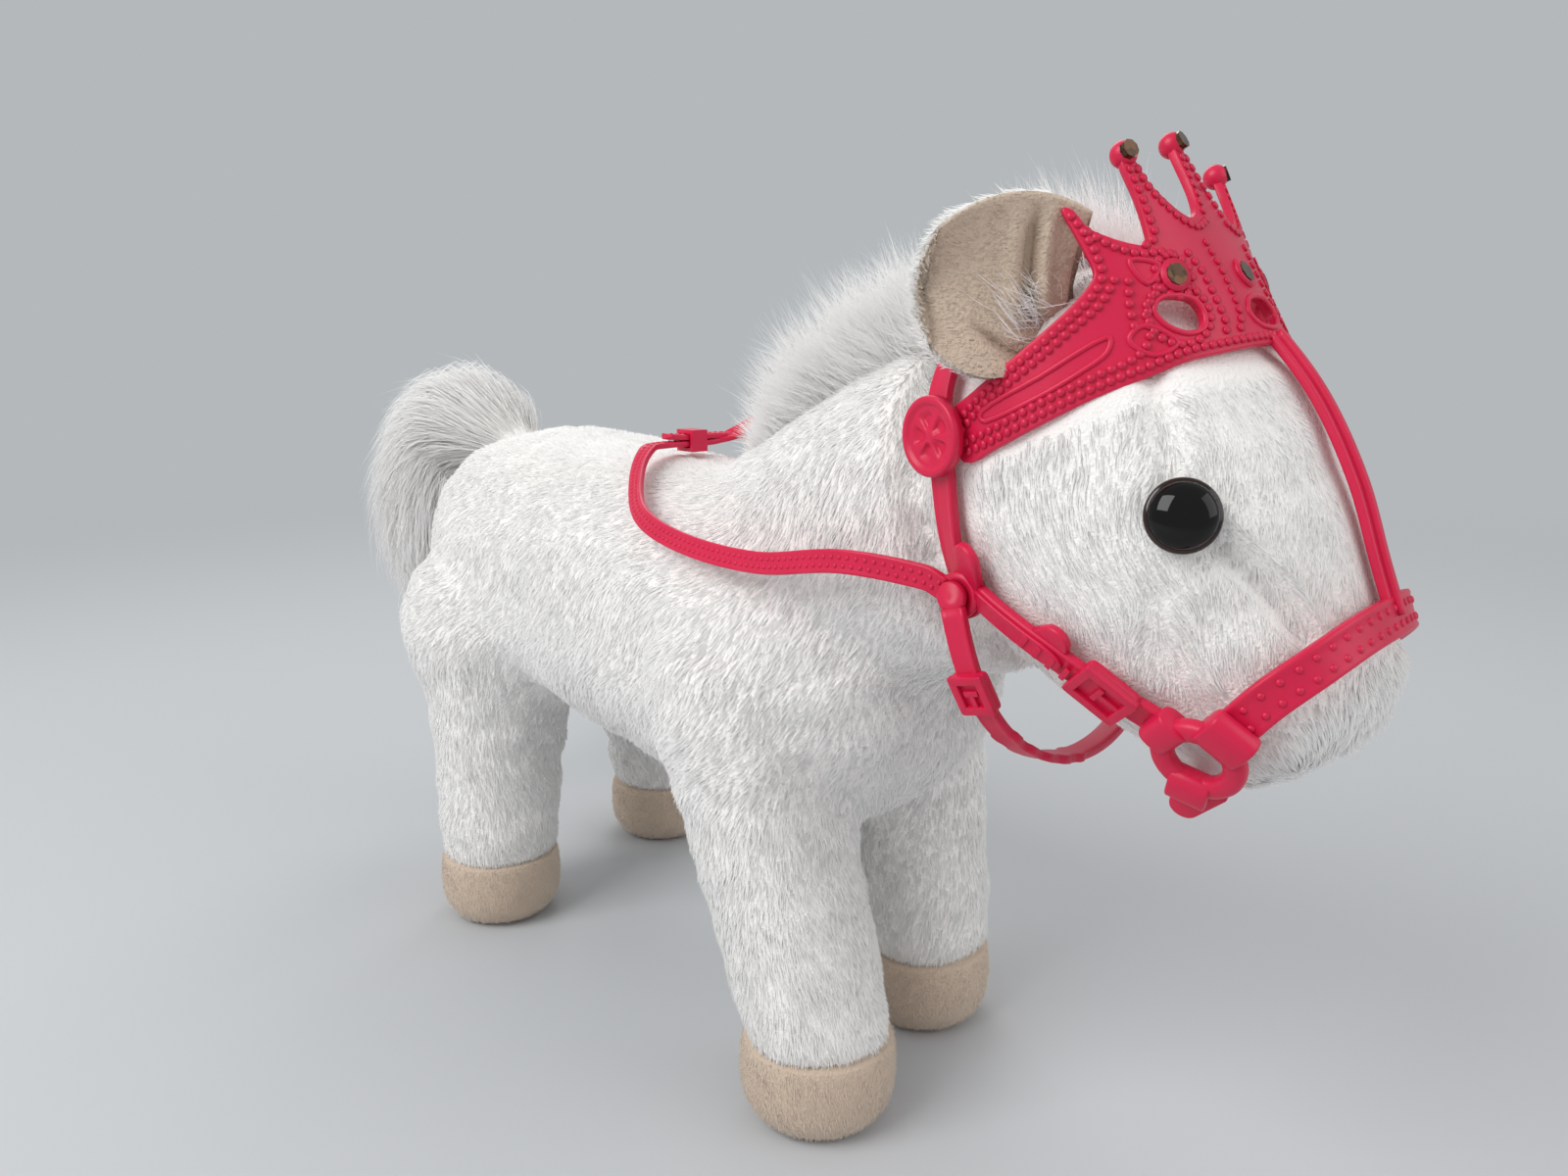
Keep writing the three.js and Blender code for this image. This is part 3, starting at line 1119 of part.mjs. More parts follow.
function batteryDoor() {
  const { y, z } = doorAxis;
  const [half, inset] = [BAY_HALF_LENGTH - DOOR_PLAY, 0.4];
  const top = MODULE_BOTTOM_Z + DOOR_THICKNESS;
  const plate = box(BAY_X - half, BAY_X + half, y, BAY_HALF_WIDTH - DOOR_PLAY, MODULE_BOTTOM_Z, top);
  const edge = rodX(DOOR_THICKNESS / 2, BAY_X - half, BAY_X + half, y, z, 16);
  const tab = box(
    SCREW.x - TAB_HALF + inset, SCREW.x + TAB_HALF - inset, BAY_HALF_WIDTH - 2, MODULE_HALF_WIDTH,
    MODULE_BOTTOM_Z, top,
  );
  const stubs = rodX(STUB_RADIUS, BAY_X - half - 2, BAY_X + half + 2, y, z, 16);
  const ribs = [-16, -5.3, 5.3, 16].map((x) =>
    box(BAY_X + x - 0.6, BAY_X + x + 0.6, -18, 20, top - 0.2, top + 0.8),
  );
  const screwHole = rodZ(SCREW.radius + RUNNING, 80, 110, SCREW.x, SCREW.y, 16);
  return cutBy(joined(plate, edge, tab, stubs, ...ribs), screwHole);
}

function doorScrew() {
  const top = MODULE_BOTTOM_Z - GAP;
  const head = cutBy(rodZ(2.6, top - 1.4, top, 0, 0, 16), box(-3, 3, -0.4, 0.4, top - 2, top - 0.7));
  return head.add(rodZ(SCREW.radius, top - 0.2, top + 6, 0, 0, 16)).translate([SCREW.x, SCREW.y, 0]);
}

function cell(i) {
  const body = rodX(CELL_RADIUS, -CELL_LENGTH / 2, CELL_LENGTH / 2 - 1.2, 0, 0, 16);
  const nub = rodX(2.7, CELL_LENGTH / 2 - 1.4, CELL_LENGTH / 2, 0, 0, 12);
  const made = body.add(nub).rotate([0, 0, i % 2 ? 0 : 180]);
  return made.translate([BAY_X, (i - 1) * CELL_PITCH, CELL_Z]);
}

// Contact plate at one end of the bay, a sprung boss for each cell
function contacts(side) {
  const wall = BAY_X + side * (BAY_HALF_LENGTH - GAP);
  const face = wall - side * 0.8;
  const plate = box(Math.min(wall, face), Math.max(wall, face), -22, 22, CELL_Z - 5, CELL_Z + 5);
  const bosses = [-1, 0, 1].map((i) => {
    const ends = [face + side * 0.2, BAY_X + side * (CELL_LENGTH / 2 + GAP)];
    return rodX(2.6, Math.min(...ends), Math.max(...ends), i * CELL_PITCH, CELL_Z, 12);
  });
  return joined(plate, ...bosses);
}

function powerSwitch() {
  const { x, halfKnob, halfBase } = SWITCH;
  const z = MODULE_BOTTOM_Z + 2 + GAP;
  const base = box(x - halfBase, x + halfBase, -6, 6, z, z + 2);
  const knob = box(x - halfKnob, x + halfKnob, -4, 4, MODULE_BOTTOM_Z - 1, z + 1);
  return base.add(knob).translate([0, -SWITCH_TRAVEL / 2, 0]);
}

// The belly opening and the room for the module in the torso
function moduleRoom() {
  const around = housingBox(GAP, MODULE_BOTTOM_Z - GAP, MODULE_TOP_Z + GAP);
  const mouth = box(BAY_X - 31, MODULE_FRONT - 1, -27, MODULE_HALF_WIDTH + GAP, 50, MODULE_BOTTOM_Z + 1);
  return around.add(mouth);
}

// Materials
const PLUSH = { color: 0xf4f3f0, roughness: 0.95, metalness: 0 };
const VELBOA = { color: 0xd9c4ad, roughness: 0.95, metalness: 0 };
const LONG_FUR = { color: 0xf7f6f3, roughness: 1, metalness: 0 };
const RUBBER = { color: 0xe8305f, roughness: 0.5, metalness: 0 };
const GLOSS_BLACK = { color: 0x0b0a0a, roughness: 0.08, metalness: 0 };
const DARK_GEM = { color: 0x1d1512, roughness: 0.1, metalness: 0 };
const WHITE_ABS = { color: 0xe9e7e2, roughness: 0.4, metalness: 0 };
const ACETAL = { color: 0xf0efe8, roughness: 0.45, metalness: 0 };
const STEEL = { color: 0xc2c4c6, roughness: 0.35, metalness: 1 };
const CELL_SLEEVE = { color: 0x3b6f4a, roughness: 0.4, metalness: 0 };
const BOARD_GREEN = { color: 0x1f5a35, roughness: 0.5, metalness: 0 };
const CONE_BLACK = { color: 0x1b1b1c, roughness: 0.8, metalness: 0 };

const horse = new THREE.Group();
function place(name, made, finish) {
  const mesh = new THREE.Mesh(geometryOf(made), new THREE.MeshStandardMaterial(finish));
  mesh.name = name;
  horse.add(mesh);
}

// Plush body
const inside = joined(moduleRoom(), neckRoom());
const torso = cutBy(torsoForm(0), inside, tailBall(TAIL_BALL_RADIUS + GAP));
const neckCup = neckBall(NECK_BALL_RADIUS + 1).intersect(behindNod(CUP_DEPTH));
place("torso", torso, PLUSH);
place("neck", cutBy(neckForm(0), torsoForm(GAP), neckCup, inside), PLUSH);
Object.entries({
  front_right: FRONT_RIGHT,
  front_left: FRONT_LEFT,
  rear_right: REAR_RIGHT,
  rear_left: REAR_LEFT,
}).forEach(([name, leg]) => {
  place("leg_" + name, cutBy(legForm(leg), torsoForm(GAP), neckForm(GAP)), PLUSH);
  place("hoof_" + name, hoofForm(leg), VELBOA);
});
place("mane", cutBy(tuftForm(MANE, 8, -0.12, 0.18), torsoForm(GAP), neckForm(GAP)), LONG_FUR);
place("tail", tailForm(), LONG_FUR);

// Head plush, in the head's own frame first
const strapRooms = [
  ringSleeve(CHEEK_TURN, STRAP_WIDTH, GAP),
  ringSleeve(NOSE_TURN, NOSEBAND_WIDTH, GAP),
  ringSleeve(CHIN_TURN, STRAP_WIDTH, GAP),
  eyePlate(GAP),
  onEyePlace(eyeRoom()),
];
const neckSweep = [-NOD_DOWN - 1, -NOD_DOWN / 2, 1, NOD_UP + 1].map((angle) =>
  turnedY(neckForm(1.4), angle, NOD_AXIS.x, NOD_AXIS.z),
);
const rooms = joined(...strapRooms, ...strapRooms.map(mirrored), tiaraRoom());
const ball = neckBall(NECK_BALL_RADIUS).intersect(behindNod(BALL_BACK));
const skull = cutBy(looking(cutBy(headForm(0), rooms)), ...neckSweep);
place("head", cutBy(skull.add(ball), bracketRoom()), PLUSH);

const bothSides = {
  ear: [cutBy(earSheet(0, -EAR.thickness, 0), ...earClear(), ...bandClear()), PLUSH],
  ear_lining: [cutBy(earSheet(EAR_LINING + 2 * GAP, 2 * GAP, 2), ...earClear(), ...bandClear()), VELBOA],
  eye: [onEyePlace(eyeForm()), GLOSS_BLACK],
  rosette: [onRosettePlace(rosette(0)), RUBBER],
  bit_ring: [ringForm(0), RUBBER],
  cheek_strap: [cheekStrap(), RUBBER],
};
Object.entries(bothSides).forEach(([name, [made, finish]]) => {
  place(name + "_right", looking(made), finish);
  place(name + "_left", looking(mirrored(made)), finish);
});

function cheekStrap() {
  const strap = joined(
    cutBy(cheekForm(0), eyePlate(GAP), ringSpace()),
    onHead(buckle(10, 9), RING_PLACE.s - 18.5, RING_PLACE.angle + 5.5, STRAP_LIFT, 4),
    ringSleeve(CHEEK_TURN, STRAP_WIDTH),
  );
  return cutBy(strap, ringForm(GAP));
}

function noseband() {
  const sleeve = ringSleeve(NOSE_TURN, NOSEBAND_WIDTH);
  return cutBy(joined(nosebandForm(0), sleeve, mirrored(sleeve)), ringForm(GAP), mirrored(ringForm(GAP)));
}

function chinStrap() {
  const sleeve = ringSleeve(CHIN_TURN, STRAP_WIDTH);
  const tab = box(-3.6, 3.6, -12, 0, -1, 1).add(rodZ(3.6, -1, 1, 0, -12, 16));
  const hanging = onHead(tab, RING_PLACE.s + 2, RING_PLACE.angle + 14, RING_LIFT + 2);
  const strap = joined(chinForm(0), sleeve, mirrored(sleeve), hanging);
  return cutBy(strap, ringForm(GAP), mirrored(ringForm(GAP)));
}

const rosetteRoom = onRosettePlace(rosette(GAP));
const bothRosettes = [rosetteRoom, mirrored(rosetteRoom)];
const boss = junctionBoss();
place("tiara", looking(cutBy(tiaraForm(), ...bothRosettes, headstallForm(GAP))), RUBBER);
const junctionSpaces = [ringSpace(), snapHole()].flatMap((space) => [space, mirrored(space)]);
const headpiece = cutBy(headstallForm(0), ...junctionSpaces);
place("headstall", looking(cutBy(joined(headpiece, boss, mirrored(boss)), ...bothRosettes)), RUBBER);
place("noseband", looking(noseband()), RUBBER);
place("chin_strap", looking(chinStrap()), RUBBER);
place("face_strap", looking(cutBy(faceForm(0), tiaraRoom(), nosebandForm(GAP))), RUBBER);
place("throat_strap", looking(throatForm()), RUBBER);
place("rein_right", reinForm(RIGHT), RUBBER);
place("rein_left", reinForm(LEFT), RUBBER);
place("rein_keeper", keeperForm(), RUBBER);
place("forelock", looking(cutBy(tuftForm(FORELOCK, 10, 0, 0), headForm(GAP), headstallForm(GAP))), LONG_FUR);

// Gems
Object.entries(GEM_PLACES).forEach(([name, [azimuth, height]]) => {
  place("gem_" + name, looking(onTiara(gemForm(GEM_RADIUS, 0), azimuth, height, 2)), DARK_GEM);
});
["centre", "right", "left"].forEach((name, i) => {
  place("gem_peak_" + name, looking(peakGems(0)[i]), DARK_GEM);
});

// Mechanism
place("neck_post", neckPost(), WHITE_ABS);
place("head_bracket", bracketForm(), WHITE_ABS);
place("pivot_pin", pivotPinForm(), STEEL);
place("gearmotor", gearmotorForm(), STEEL);
place("pinion", pinionForm(), ACETAL);
place("housing_lower", housingLower(), WHITE_ABS);
place("housing_upper", housingUpper(), WHITE_ABS);
place("battery_door", batteryDoor(), WHITE_ABS);
place("door_screw", doorScrew(), STEEL);
[0, 1, 2].forEach((i) => place("cell_" + (i + 1), cell(i), CELL_SLEEVE));
place("contacts_front", contacts(1), STEEL);
place("contacts_rear", contacts(-1), STEEL);
place("power_switch", powerSwitch(), CONE_BLACK);
place("circuit_board", circuitBoard(), BOARD_GREEN);
place("speaker", speakerForm(), CONE_BLACK);

// The origin is on the floor under the middle of the whole
const middle = new THREE.Box3().setFromObject(horse).getCenter(vec(0, 0, 0));
horse.children.forEach((mesh) => mesh.geometry.translate(-middle.x, -middle.y, 0));

export default horse;
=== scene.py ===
"""Looks of a standing plush horse with a soft moulded bridle and tiara.

Every shape is worked out in the millimetres of the part's drawing: +X to the nose, +Y to the horse's left
and +Z up. It is moved to the model's frame and to metres only when its mesh is made.
"""

import json

import bmesh
import bpy
import numpy as np
from mathutils import Matrix


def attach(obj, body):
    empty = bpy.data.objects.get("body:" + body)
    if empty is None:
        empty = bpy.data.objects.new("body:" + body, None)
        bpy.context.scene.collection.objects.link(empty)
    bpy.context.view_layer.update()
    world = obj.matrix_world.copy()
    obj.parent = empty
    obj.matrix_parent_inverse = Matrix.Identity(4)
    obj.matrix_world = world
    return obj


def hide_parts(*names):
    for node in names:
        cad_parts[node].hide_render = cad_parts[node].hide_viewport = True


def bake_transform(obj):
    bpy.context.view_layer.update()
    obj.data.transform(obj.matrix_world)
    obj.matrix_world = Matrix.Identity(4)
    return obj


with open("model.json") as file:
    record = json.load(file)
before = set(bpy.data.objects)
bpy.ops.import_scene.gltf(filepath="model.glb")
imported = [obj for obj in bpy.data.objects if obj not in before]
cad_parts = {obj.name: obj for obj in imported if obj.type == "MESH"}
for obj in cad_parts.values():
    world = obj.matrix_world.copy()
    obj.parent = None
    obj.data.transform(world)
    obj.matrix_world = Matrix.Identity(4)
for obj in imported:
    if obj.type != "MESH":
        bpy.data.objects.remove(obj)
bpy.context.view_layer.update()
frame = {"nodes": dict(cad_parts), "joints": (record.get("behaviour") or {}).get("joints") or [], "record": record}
NODES = frame["nodes"]

# The drawing's origin in the model's frame, from the nod axis that both of them state
NOD_AXIS = np.array([135.0, 0.0, 166.0])
NOD_JOINT = next(joint for joint in frame["joints"] if joint["name"] == "head_nod")
DRAWING_SHIFT = np.array(NOD_JOINT["pos_m"]) * 1000 - NOD_AXIS


def metres(points):
    """Drawing millimetres to metres of the model's frame: the shift is added and the sum divided by 1000."""
    return (np.asarray(points, float) + DRAWING_SHIFT) / 1000


# Numbers of the drawing
# Rows of the torso: x, top z, bottom z, half width
TORSO = np.array([
    [-128, 138, 130, 5], [-125, 157, 113, 28], [-115, 169, 99, 42], [-98, 176, 88, 52], [-72, 178, 83, 55],
    [-38, 175, 80, 53], [-2, 173, 77, 52], [32, 173, 73, 51], [60, 173, 72, 50], [80, 170, 76, 46],
    [97, 161, 88, 37], [107, 147, 104, 23], [110, 129, 121, 5],
], float)
# Rows of the neck: x, z, half height, half width
NECK = np.array([
    [34, 126, 38, 42], [56, 141, 40, 42], [78, 154, 41, 40], [98, 163, 42, 39], [112, 168, 42, 38.5],
    [121.6, 171, 41.5, 38],
], float)
# Rows of the tail's fur: x, z, half height, half width, y
TAIL_FUR = np.array([
    [-122, 166, 9, 11, 0], [-131, 170, 13, 16, -2], [-144, 174, 19, 20, -5], [-160, 173, 24, 22, -8],
    [-173, 154, 27, 25, -9], [-178, 128, 27, 26, -8], [-178, 104, 22, 22, -5], [-176, 84, 12, 13, -3],
], float)
# Legs: foot x and y, hip x and y, radius at the hip
LEGS = {
    "front_right": ([88, -28], [56, -33], 28),
    "front_left": ([71, 31], [58, 29], 28),
    "rear_right": ([-77, -40], [-84, -31], 35),
    "rear_left": ([-100, 48], [-85, 31], 35),
}
HOOF = np.array([[0, 0], [13, 0], [17.5, 1.8], [21, 7], [22, 14], [21.6, 21], [21, 24], [0, 24]], float)
HOOF_TOP, LEG_BOTTOM, HIP_TOP = 24, 22, 132
# Rows of the head: distance along its line, height above it, depth below it, half width
HEAD = np.array([
    [-8, 5, 5, 5], [-6.5, 18, 16, 20], [-2, 27, 27, 32], [6, 33.5, 36, 39], [18, 37.5, 42, 41.5],
    [32, 38.5, 44.5, 43], [48, 37.5, 44, 43.5], [65, 33, 39.5, 41], [80, 26.5, 33, 35.5], [93, 21, 28, 31],
    [101.5, 17, 24, 28], [107, 10, 15, 19], [109.5, 3, 4, 6],
], float)
# The power of the ovals of torso and head
BODY_POWER = 2.25
HEAD_BACK = np.array([133.0, 0.0, 207.0])
HEAD_PITCH = np.radians(46.8)
HEAD_ALONG = np.array([np.cos(HEAD_PITCH), 0, -np.sin(HEAD_PITCH)])
HEAD_UP = np.array([np.sin(HEAD_PITCH), 0, np.cos(HEAD_PITCH)])
HEAD_TURN = np.radians(8)
EYE_S, EYE_ANGLE, EYE_RADIUS = 56.5, 62, 7

# Ears
EAR_ROOT = np.array([159.0, -29.0, 218.0])
EAR_LENGTH, EAR_HALF_WIDTH, EAR_CUP = 33, 20, 7

# Crest rows of the forelock: x, ridge z, height, half width
FORELOCK = np.array([
    [128, 216, 8, 6], [133, 218, 17, 11], [143, 219, 22, 14], [152, 218, 20, 14], [159, 216, 12, 9],
    [162, 215, 6, 5],
], float)

# Straps
STRAP_LIFT, STRAP_THICKNESS, STRAP_WIDTH, NOSEBAND_WIDTH = 0.55, 2, 6.5, 8
JUNCTION_S, JUNCTION_ANGLE = 40, 131
ROSETTE_S, ROSETTE_ANGLE = 13, 103
HEADSTALL_SIDE = [[36, 127], [30, 120], [22, 111], [13, 103], [6, 96], [0, 84], [-3, 62], [-3.6, 30]]
CHEEK_ROUTE = [[43, 123], [47.5, 121], [55.5, 118], [63, 115.5], [76.5, 112.5], [84, 110]]
NOSE_SIDE = [[92, 92], [91, 75], [90.5, 50], [90, 25], [90, 0]]
CHIN_SIDE = [[96, 127], [98.5, 145], [99, 162]]
FACE_ROUTE = [[33, 0], [52, 0], [71, 0], [90, 0]]
RING_S, RING_ANGLE, RING_LIFT, RING_RADIUS, RING_WIRE = 92.5, 108, 3.5, 7.1, 1.9

# Tiara: azimuth in degrees from the front, height along its leaning line
TIARA_CENTRE = np.array([146.0, 0.0, 192.7])
TIARA_TILT = np.radians(22.7)
TIARA_UP = np.array([-np.sin(TIARA_TILT), 0, np.cos(TIARA_TILT)])
TIARA_AHEAD = np.array([np.cos(TIARA_TILT), 0, np.sin(TIARA_TILT)])
TIARA_INNER, TIARA_THICKNESS, PEAK_CENTRE = 41.2, 2, 46
TIARA_OUTLINE = [
    [12, 0], [25, -0.1], [35, 0], [46, -0.9], [60, -1.6], [76, -3], [90, -4.2], [101, -4.3], [101.5, 4.8],
    [91, 7.4], [79, 10], [70, 12.4], [61, 15.2], [54.5, 18], [51.5, 20.5], [52, 25], [53.3, 30], [54.3, 34],
    [52.6, 33.2], [50.2, 29], [46, 26.2], [42, 24.3], [38, 23], [35.3, 22.6], [34.2, 27], [34.1, 33],
    [34.9, 40.5], [31.2, 40.5], [28.8, 35.6], [25, 32], [20, 28.8], [15, 27.6], [9, 29.5], [5, 35],
    [2.7, 44.5],
]
TIARA_HOLE = [
    [40.5, 10.4], [38, 12.5], [33, 12.3], [28.3, 10.9], [26.5, 8], [28.2, 5], [33.5, 4.6], [38.4, 7],
]
TIARA_FRONT_HOLE = [[-9, 6.5], [-5, 9.8], [5, 9.8], [9, 6.5], [5, 3.4], [-5, 3.4]]
TIARA_PANELS = [
    [[90, 3.4], [90, 1.2], [74, 1.8], [63, 3.4], [55, 5.4], [54, 8.2], [72.5, 5.3]],
    [[49, 6.2], [45.5, 8.2], [41.5, 7.2], [37.2, 3.6], [40.5, 2.2], [45, 2.6]],
    [[42.6, 21], [35, 18.8], [40, 15.8]],
]
BEAD_ROWS = [
    [[98, -3.0], [90, -2.8], [76, -1.6], [60, -0.2], [46, 0.6], [35, 1.4], [24, 1.3], [12, 1.3], [1.5, 1.4]],
    [[98, -1.0], [90, -0.8], [76, 0.4], [60, 1.8], [48, 3.0], [43.5, 6.2], [42.6, 11], [38, 14.6]],
    [[98, 3.5], [90, 6.1], [79, 8.7], [70, 11], [61, 13.8], [54.5, 16.4], [50.4, 19.6], [50.2, 24],
     [51.6, 29.3], [53.2, 32.4]],
    [[98, 1.6], [90, 4.2], [79, 6.8], [70, 9.1], [61, 11.9], [53, 14.6], [47.8, 18.2]],
    [[50.6, 28.5], [46, 24.8], [42, 22.8], [38, 21.5], [34, 21.4], [30.4, 20.6]],
    [[36.8, 23.2], [33.1, 24.4], [32.7, 28], [32.7, 33], [33.4, 38.5]],
    [[7.6, 27.4], [14, 25.8], [20, 27], [25, 30.2], [29.2, 34.4], [31, 38.4]],
    [[6.6, 29.6], [4.6, 33.5], [3, 38], [1.7, 42.5]],
    [[44.5, 17.2], [46.2, 12.4], [46.6, 8.6]],
    [[24, 20.2], [21.4, 16], [20.6, 11], [20.4, 6], [21.5, 3.6]],
    [[14, 22.2], [12.6, 17], [12.4, 12], [13.4, 6.5], [16, 3.6]],
]
# Closed rows of beads: middle, half width in degrees, half height
BEAD_RINGS = [(33.6, 8.6, 9.1, 5.9), (31.5, 16.2, 5.6, 4.3)]
BEAD_PITCH, BEAD_RADIUS = 1.95, 0.86
PEAKS = {"centre": (0, PEAK_CENTRE), "right": (33, 42), "left": (-33, 42)}
GEM_SEATS = {"right": (31.5, 16.2), "left": (-31.5, 16.2), "centre": (0, 15.5)}


# Numpy surfaces
def unit(vectors):
    """Each vector over its own length."""
    return vectors / np.maximum(np.linalg.norm(vectors, axis=-1, keepdims=True), 1e-9)


def between(table, places):
    """Rows of a table at any place of its first column: a cubic through every column, whose slope at a row is
    that of the line from the row before it to the row after it."""
    table, places = np.asarray(table, float), np.asarray(places, float)
    key, rows = table[:, 0], np.arange(len(table))
    before, after = np.maximum(rows - 1, 0), np.minimum(rows + 1, len(rows) - 1)
    slopes = (table[after, 1:] - table[before, 1:]) / (key[after] - key[before])[:, None]
    i = np.clip(np.searchsorted(key, places, side="right") - 1, 0, len(rows) - 2)
    span = (key[i + 1] - key[i])[..., None]
    t = np.clip((places[..., None] - key[i][..., None]) / span, 0, 1)
    first = (2 * t**3 - 3 * t**2 + 1) * table[i, 1:] + (t**3 - 2 * t**2 + t) * slopes[i] * span
    return first + (3 * t**2 - 2 * t**3) * table[i + 1, 1:] + (t**3 - t**2) * slopes[i + 1] * span


def full_turn(count):
    """The angles of a whole turn in even steps."""
    return np.linspace(0, 2 * np.pi, count, endpoint=False)


def lengths_along(points):
    """The distance from the first point to each along the straight lines between them."""
    return np.concatenate([[0], np.cumsum(np.linalg.norm(np.diff(points, axis=0), axis=1))])


def at_lengths(rows, lengths, places):
    """Rows of a line at places along it, in a straight line between two rows."""
    return np.stack([np.interp(places, lengths, column) for column in rows.T], -1)


def spun(points, degrees):
    """Points turned about Z."""
    c, s = np.cos(np.radians(degrees)), np.sin(np.radians(degrees))
    x, y, z = np.moveaxis(points, -1, 0)
    return np.stack([c * x - s * y, s * x + c * y, z], -1)


def smooth_line(rows, count):
    """A smooth line of count points through the rows, evenly spaced by the distance along them."""
    rows = np.asarray(rows, float)
    lengths = lengths_along(rows)
    return between(np.column_stack([lengths, rows]), np.linspace(0, lengths[-1], count))


def oval(angle, power):
    """Cosine and sine of the angle, each raised to 2 over the power with its sign kept: a squarer ellipse."""
    c, s = np.cos(angle), np.sin(angle)
    return np.sign(c) * np.abs(c) ** (2 / power), np.sign(s) * np.abs(s) ** (2 / power)


def outwards(points, faces):
    """The same closed shape with its faces turned so that its signed volume, a sum of triple products, is
    positive."""
    volume = 0.0
    for face in faces:
        for k in range(1, face.shape[1] - 1):
            a, b, c = points[face[:, 0]], points[face[:, k]], points[face[:, k + 1]]
            volume += np.einsum("ij,ij->i", a, np.cross(b, c)).sum()
    return (points, [face[:, ::-1] for face in faces]) if volume < 0 else (points, faces)


def closed_tube(rings):
    """Rings of points joined by quads, one row each, closed at both ends by a fan to the ring's middle."""
    rows, columns = rings.shape[:2]
    points = np.concatenate([rings.reshape(-1, 3), rings[:1].mean(1), rings[-1:].mean(1)])
    i, j = np.meshgrid(np.arange(rows - 1), np.arange(columns), indexing="ij")
    k = (j + 1) % columns
    quads = np.stack([i * columns + j, i * columns + k, (i + 1) * columns + k, (i + 1) * columns + j], -1)
    j = np.arange(columns)
    k = (j + 1) % columns
    start = np.stack([np.full(columns, rows * columns), k, j], -1)
    last = (rows - 1) * columns
    end = np.stack([np.full(columns, rows * columns + 1), last + j, last + k], -1)
    return outwards(points, [quads.reshape(-1, 4), start, end])


def closed_ring(rings):
    """Rings of points joined by quads, the last ring to the first, as on a torus."""
    rows, columns = rings.shape[:2]
    i, j = np.meshgrid(np.arange(rows), np.arange(columns), indexing="ij")
    i2, j2 = (i + 1) % rows, (j + 1) % columns
    quads = np.stack([i * columns + j, i * columns + j2, i2 * columns + j2, i2 * columns + j], -1)
    return outwards(rings.reshape(-1, 3), [quads.reshape(-1, 4)])


def together(shapes):
    """Several shapes as one: the points after each other, each shape's faces moved up by those before it."""
    points, faces, shift = [], [], 0
    for shape_points, shape_faces in shapes:
        points.append(shape_points)
        faces += [face + shift for face in shape_faces]
        shift += len(shape_points)
    return np.concatenate(points), faces


def stamped(shape, places, across, along, out, scales=1.0):
    """A shape put at many places: place + x times across + y times along + z times out, times the scale."""
    points, faces = shape
    count = len(places)
    frames = np.stack([across, along, out], 1)
    sized = points[None] * np.broadcast_to(np.asarray(scales, float), (count,))[:, None, None]
    put = places[:, None] + np.einsum("npk,nkc->npc", sized, frames)
    steps = (np.arange(count) * len(points))[:, None, None]
    return put.reshape(-1, 3), [(face[None] + steps).reshape(-1, face.shape[1]) for face in faces]


def lathe(profile, sides):
    """A profile of radius and height rows turned about Z, closed by its ends, which lie on the axis."""
    profile = np.asarray(profile, float)
    turn = full_turn(sides)
    radius, height = profile[:, :1], np.repeat(profile[:, 1:2], sides, 1)
    return closed_tube(np.stack([radius * np.cos(turn), radius * np.sin(turn), height], -1))


def pebble(half, power=5, rows=14, columns=24):
    """A box with rounded edges: a sphere whose sines and cosines are raised to 2 over the power."""
    lean = np.linspace(-np.pi / 2 + 0.02, np.pi / 2 - 0.02, rows)
    flat, rise = oval(lean, power)
    x, y = oval(full_turn(columns), power)
    ring = np.stack([flat[:, None] * x, flat[:, None] * y, np.repeat(rise[:, None], columns, 1)], -1)
    return closed_tube(ring * np.asarray(half, float))


def dome(sides=8):
    """Half of a ball of radius 1 on a short skirt, in rings at heights of its sine, for beads and dots."""
    lean = np.radians([0, 38, 66])
    radius, height = np.concatenate([[1], np.cos(lean)]), np.concatenate([[-0.4], np.sin(lean)])
    turn = full_turn(sides)
    radius, height = radius[:, None], np.repeat(height[:, None], sides, 1)
    points, faces = closed_tube(np.stack([radius * np.cos(turn), radius * np.sin(turn), height], -1))
    points[-1, 2] = 1
    return points, faces


def wobble(points, size, seed):
    """Smooth noise from -1 to 1 of three sines across the point, which repeat after about the size."""
    random = np.random.default_rng(seed)
    total = 0
    for _ in range(3):
        direction = unit(random.normal(size=3)) * 2 * np.pi / (size * random.uniform(0.7, 1.4))
        turned = unit(random.normal(size=3)) * 2 * np.pi / (size * random.uniform(1.2, 2.2))
        total = total + np.sin(points @ direction + 1.7 * np.sin(points @ turned) + random.uniform(0, 6.28))
    return total / 3


def linked(name, data):
    """A new object of the data, linked to the scene."""
    made = bpy.data.objects.new(name, data)
    bpy.context.scene.collection.objects.link(made)
    return made


def worked_out(made):
    """A new mesh of what an object shows with its modifiers."""
    return bpy.data.meshes.new_from_object(made.evaluated_get(bpy.context.evaluated_depsgraph_get()))


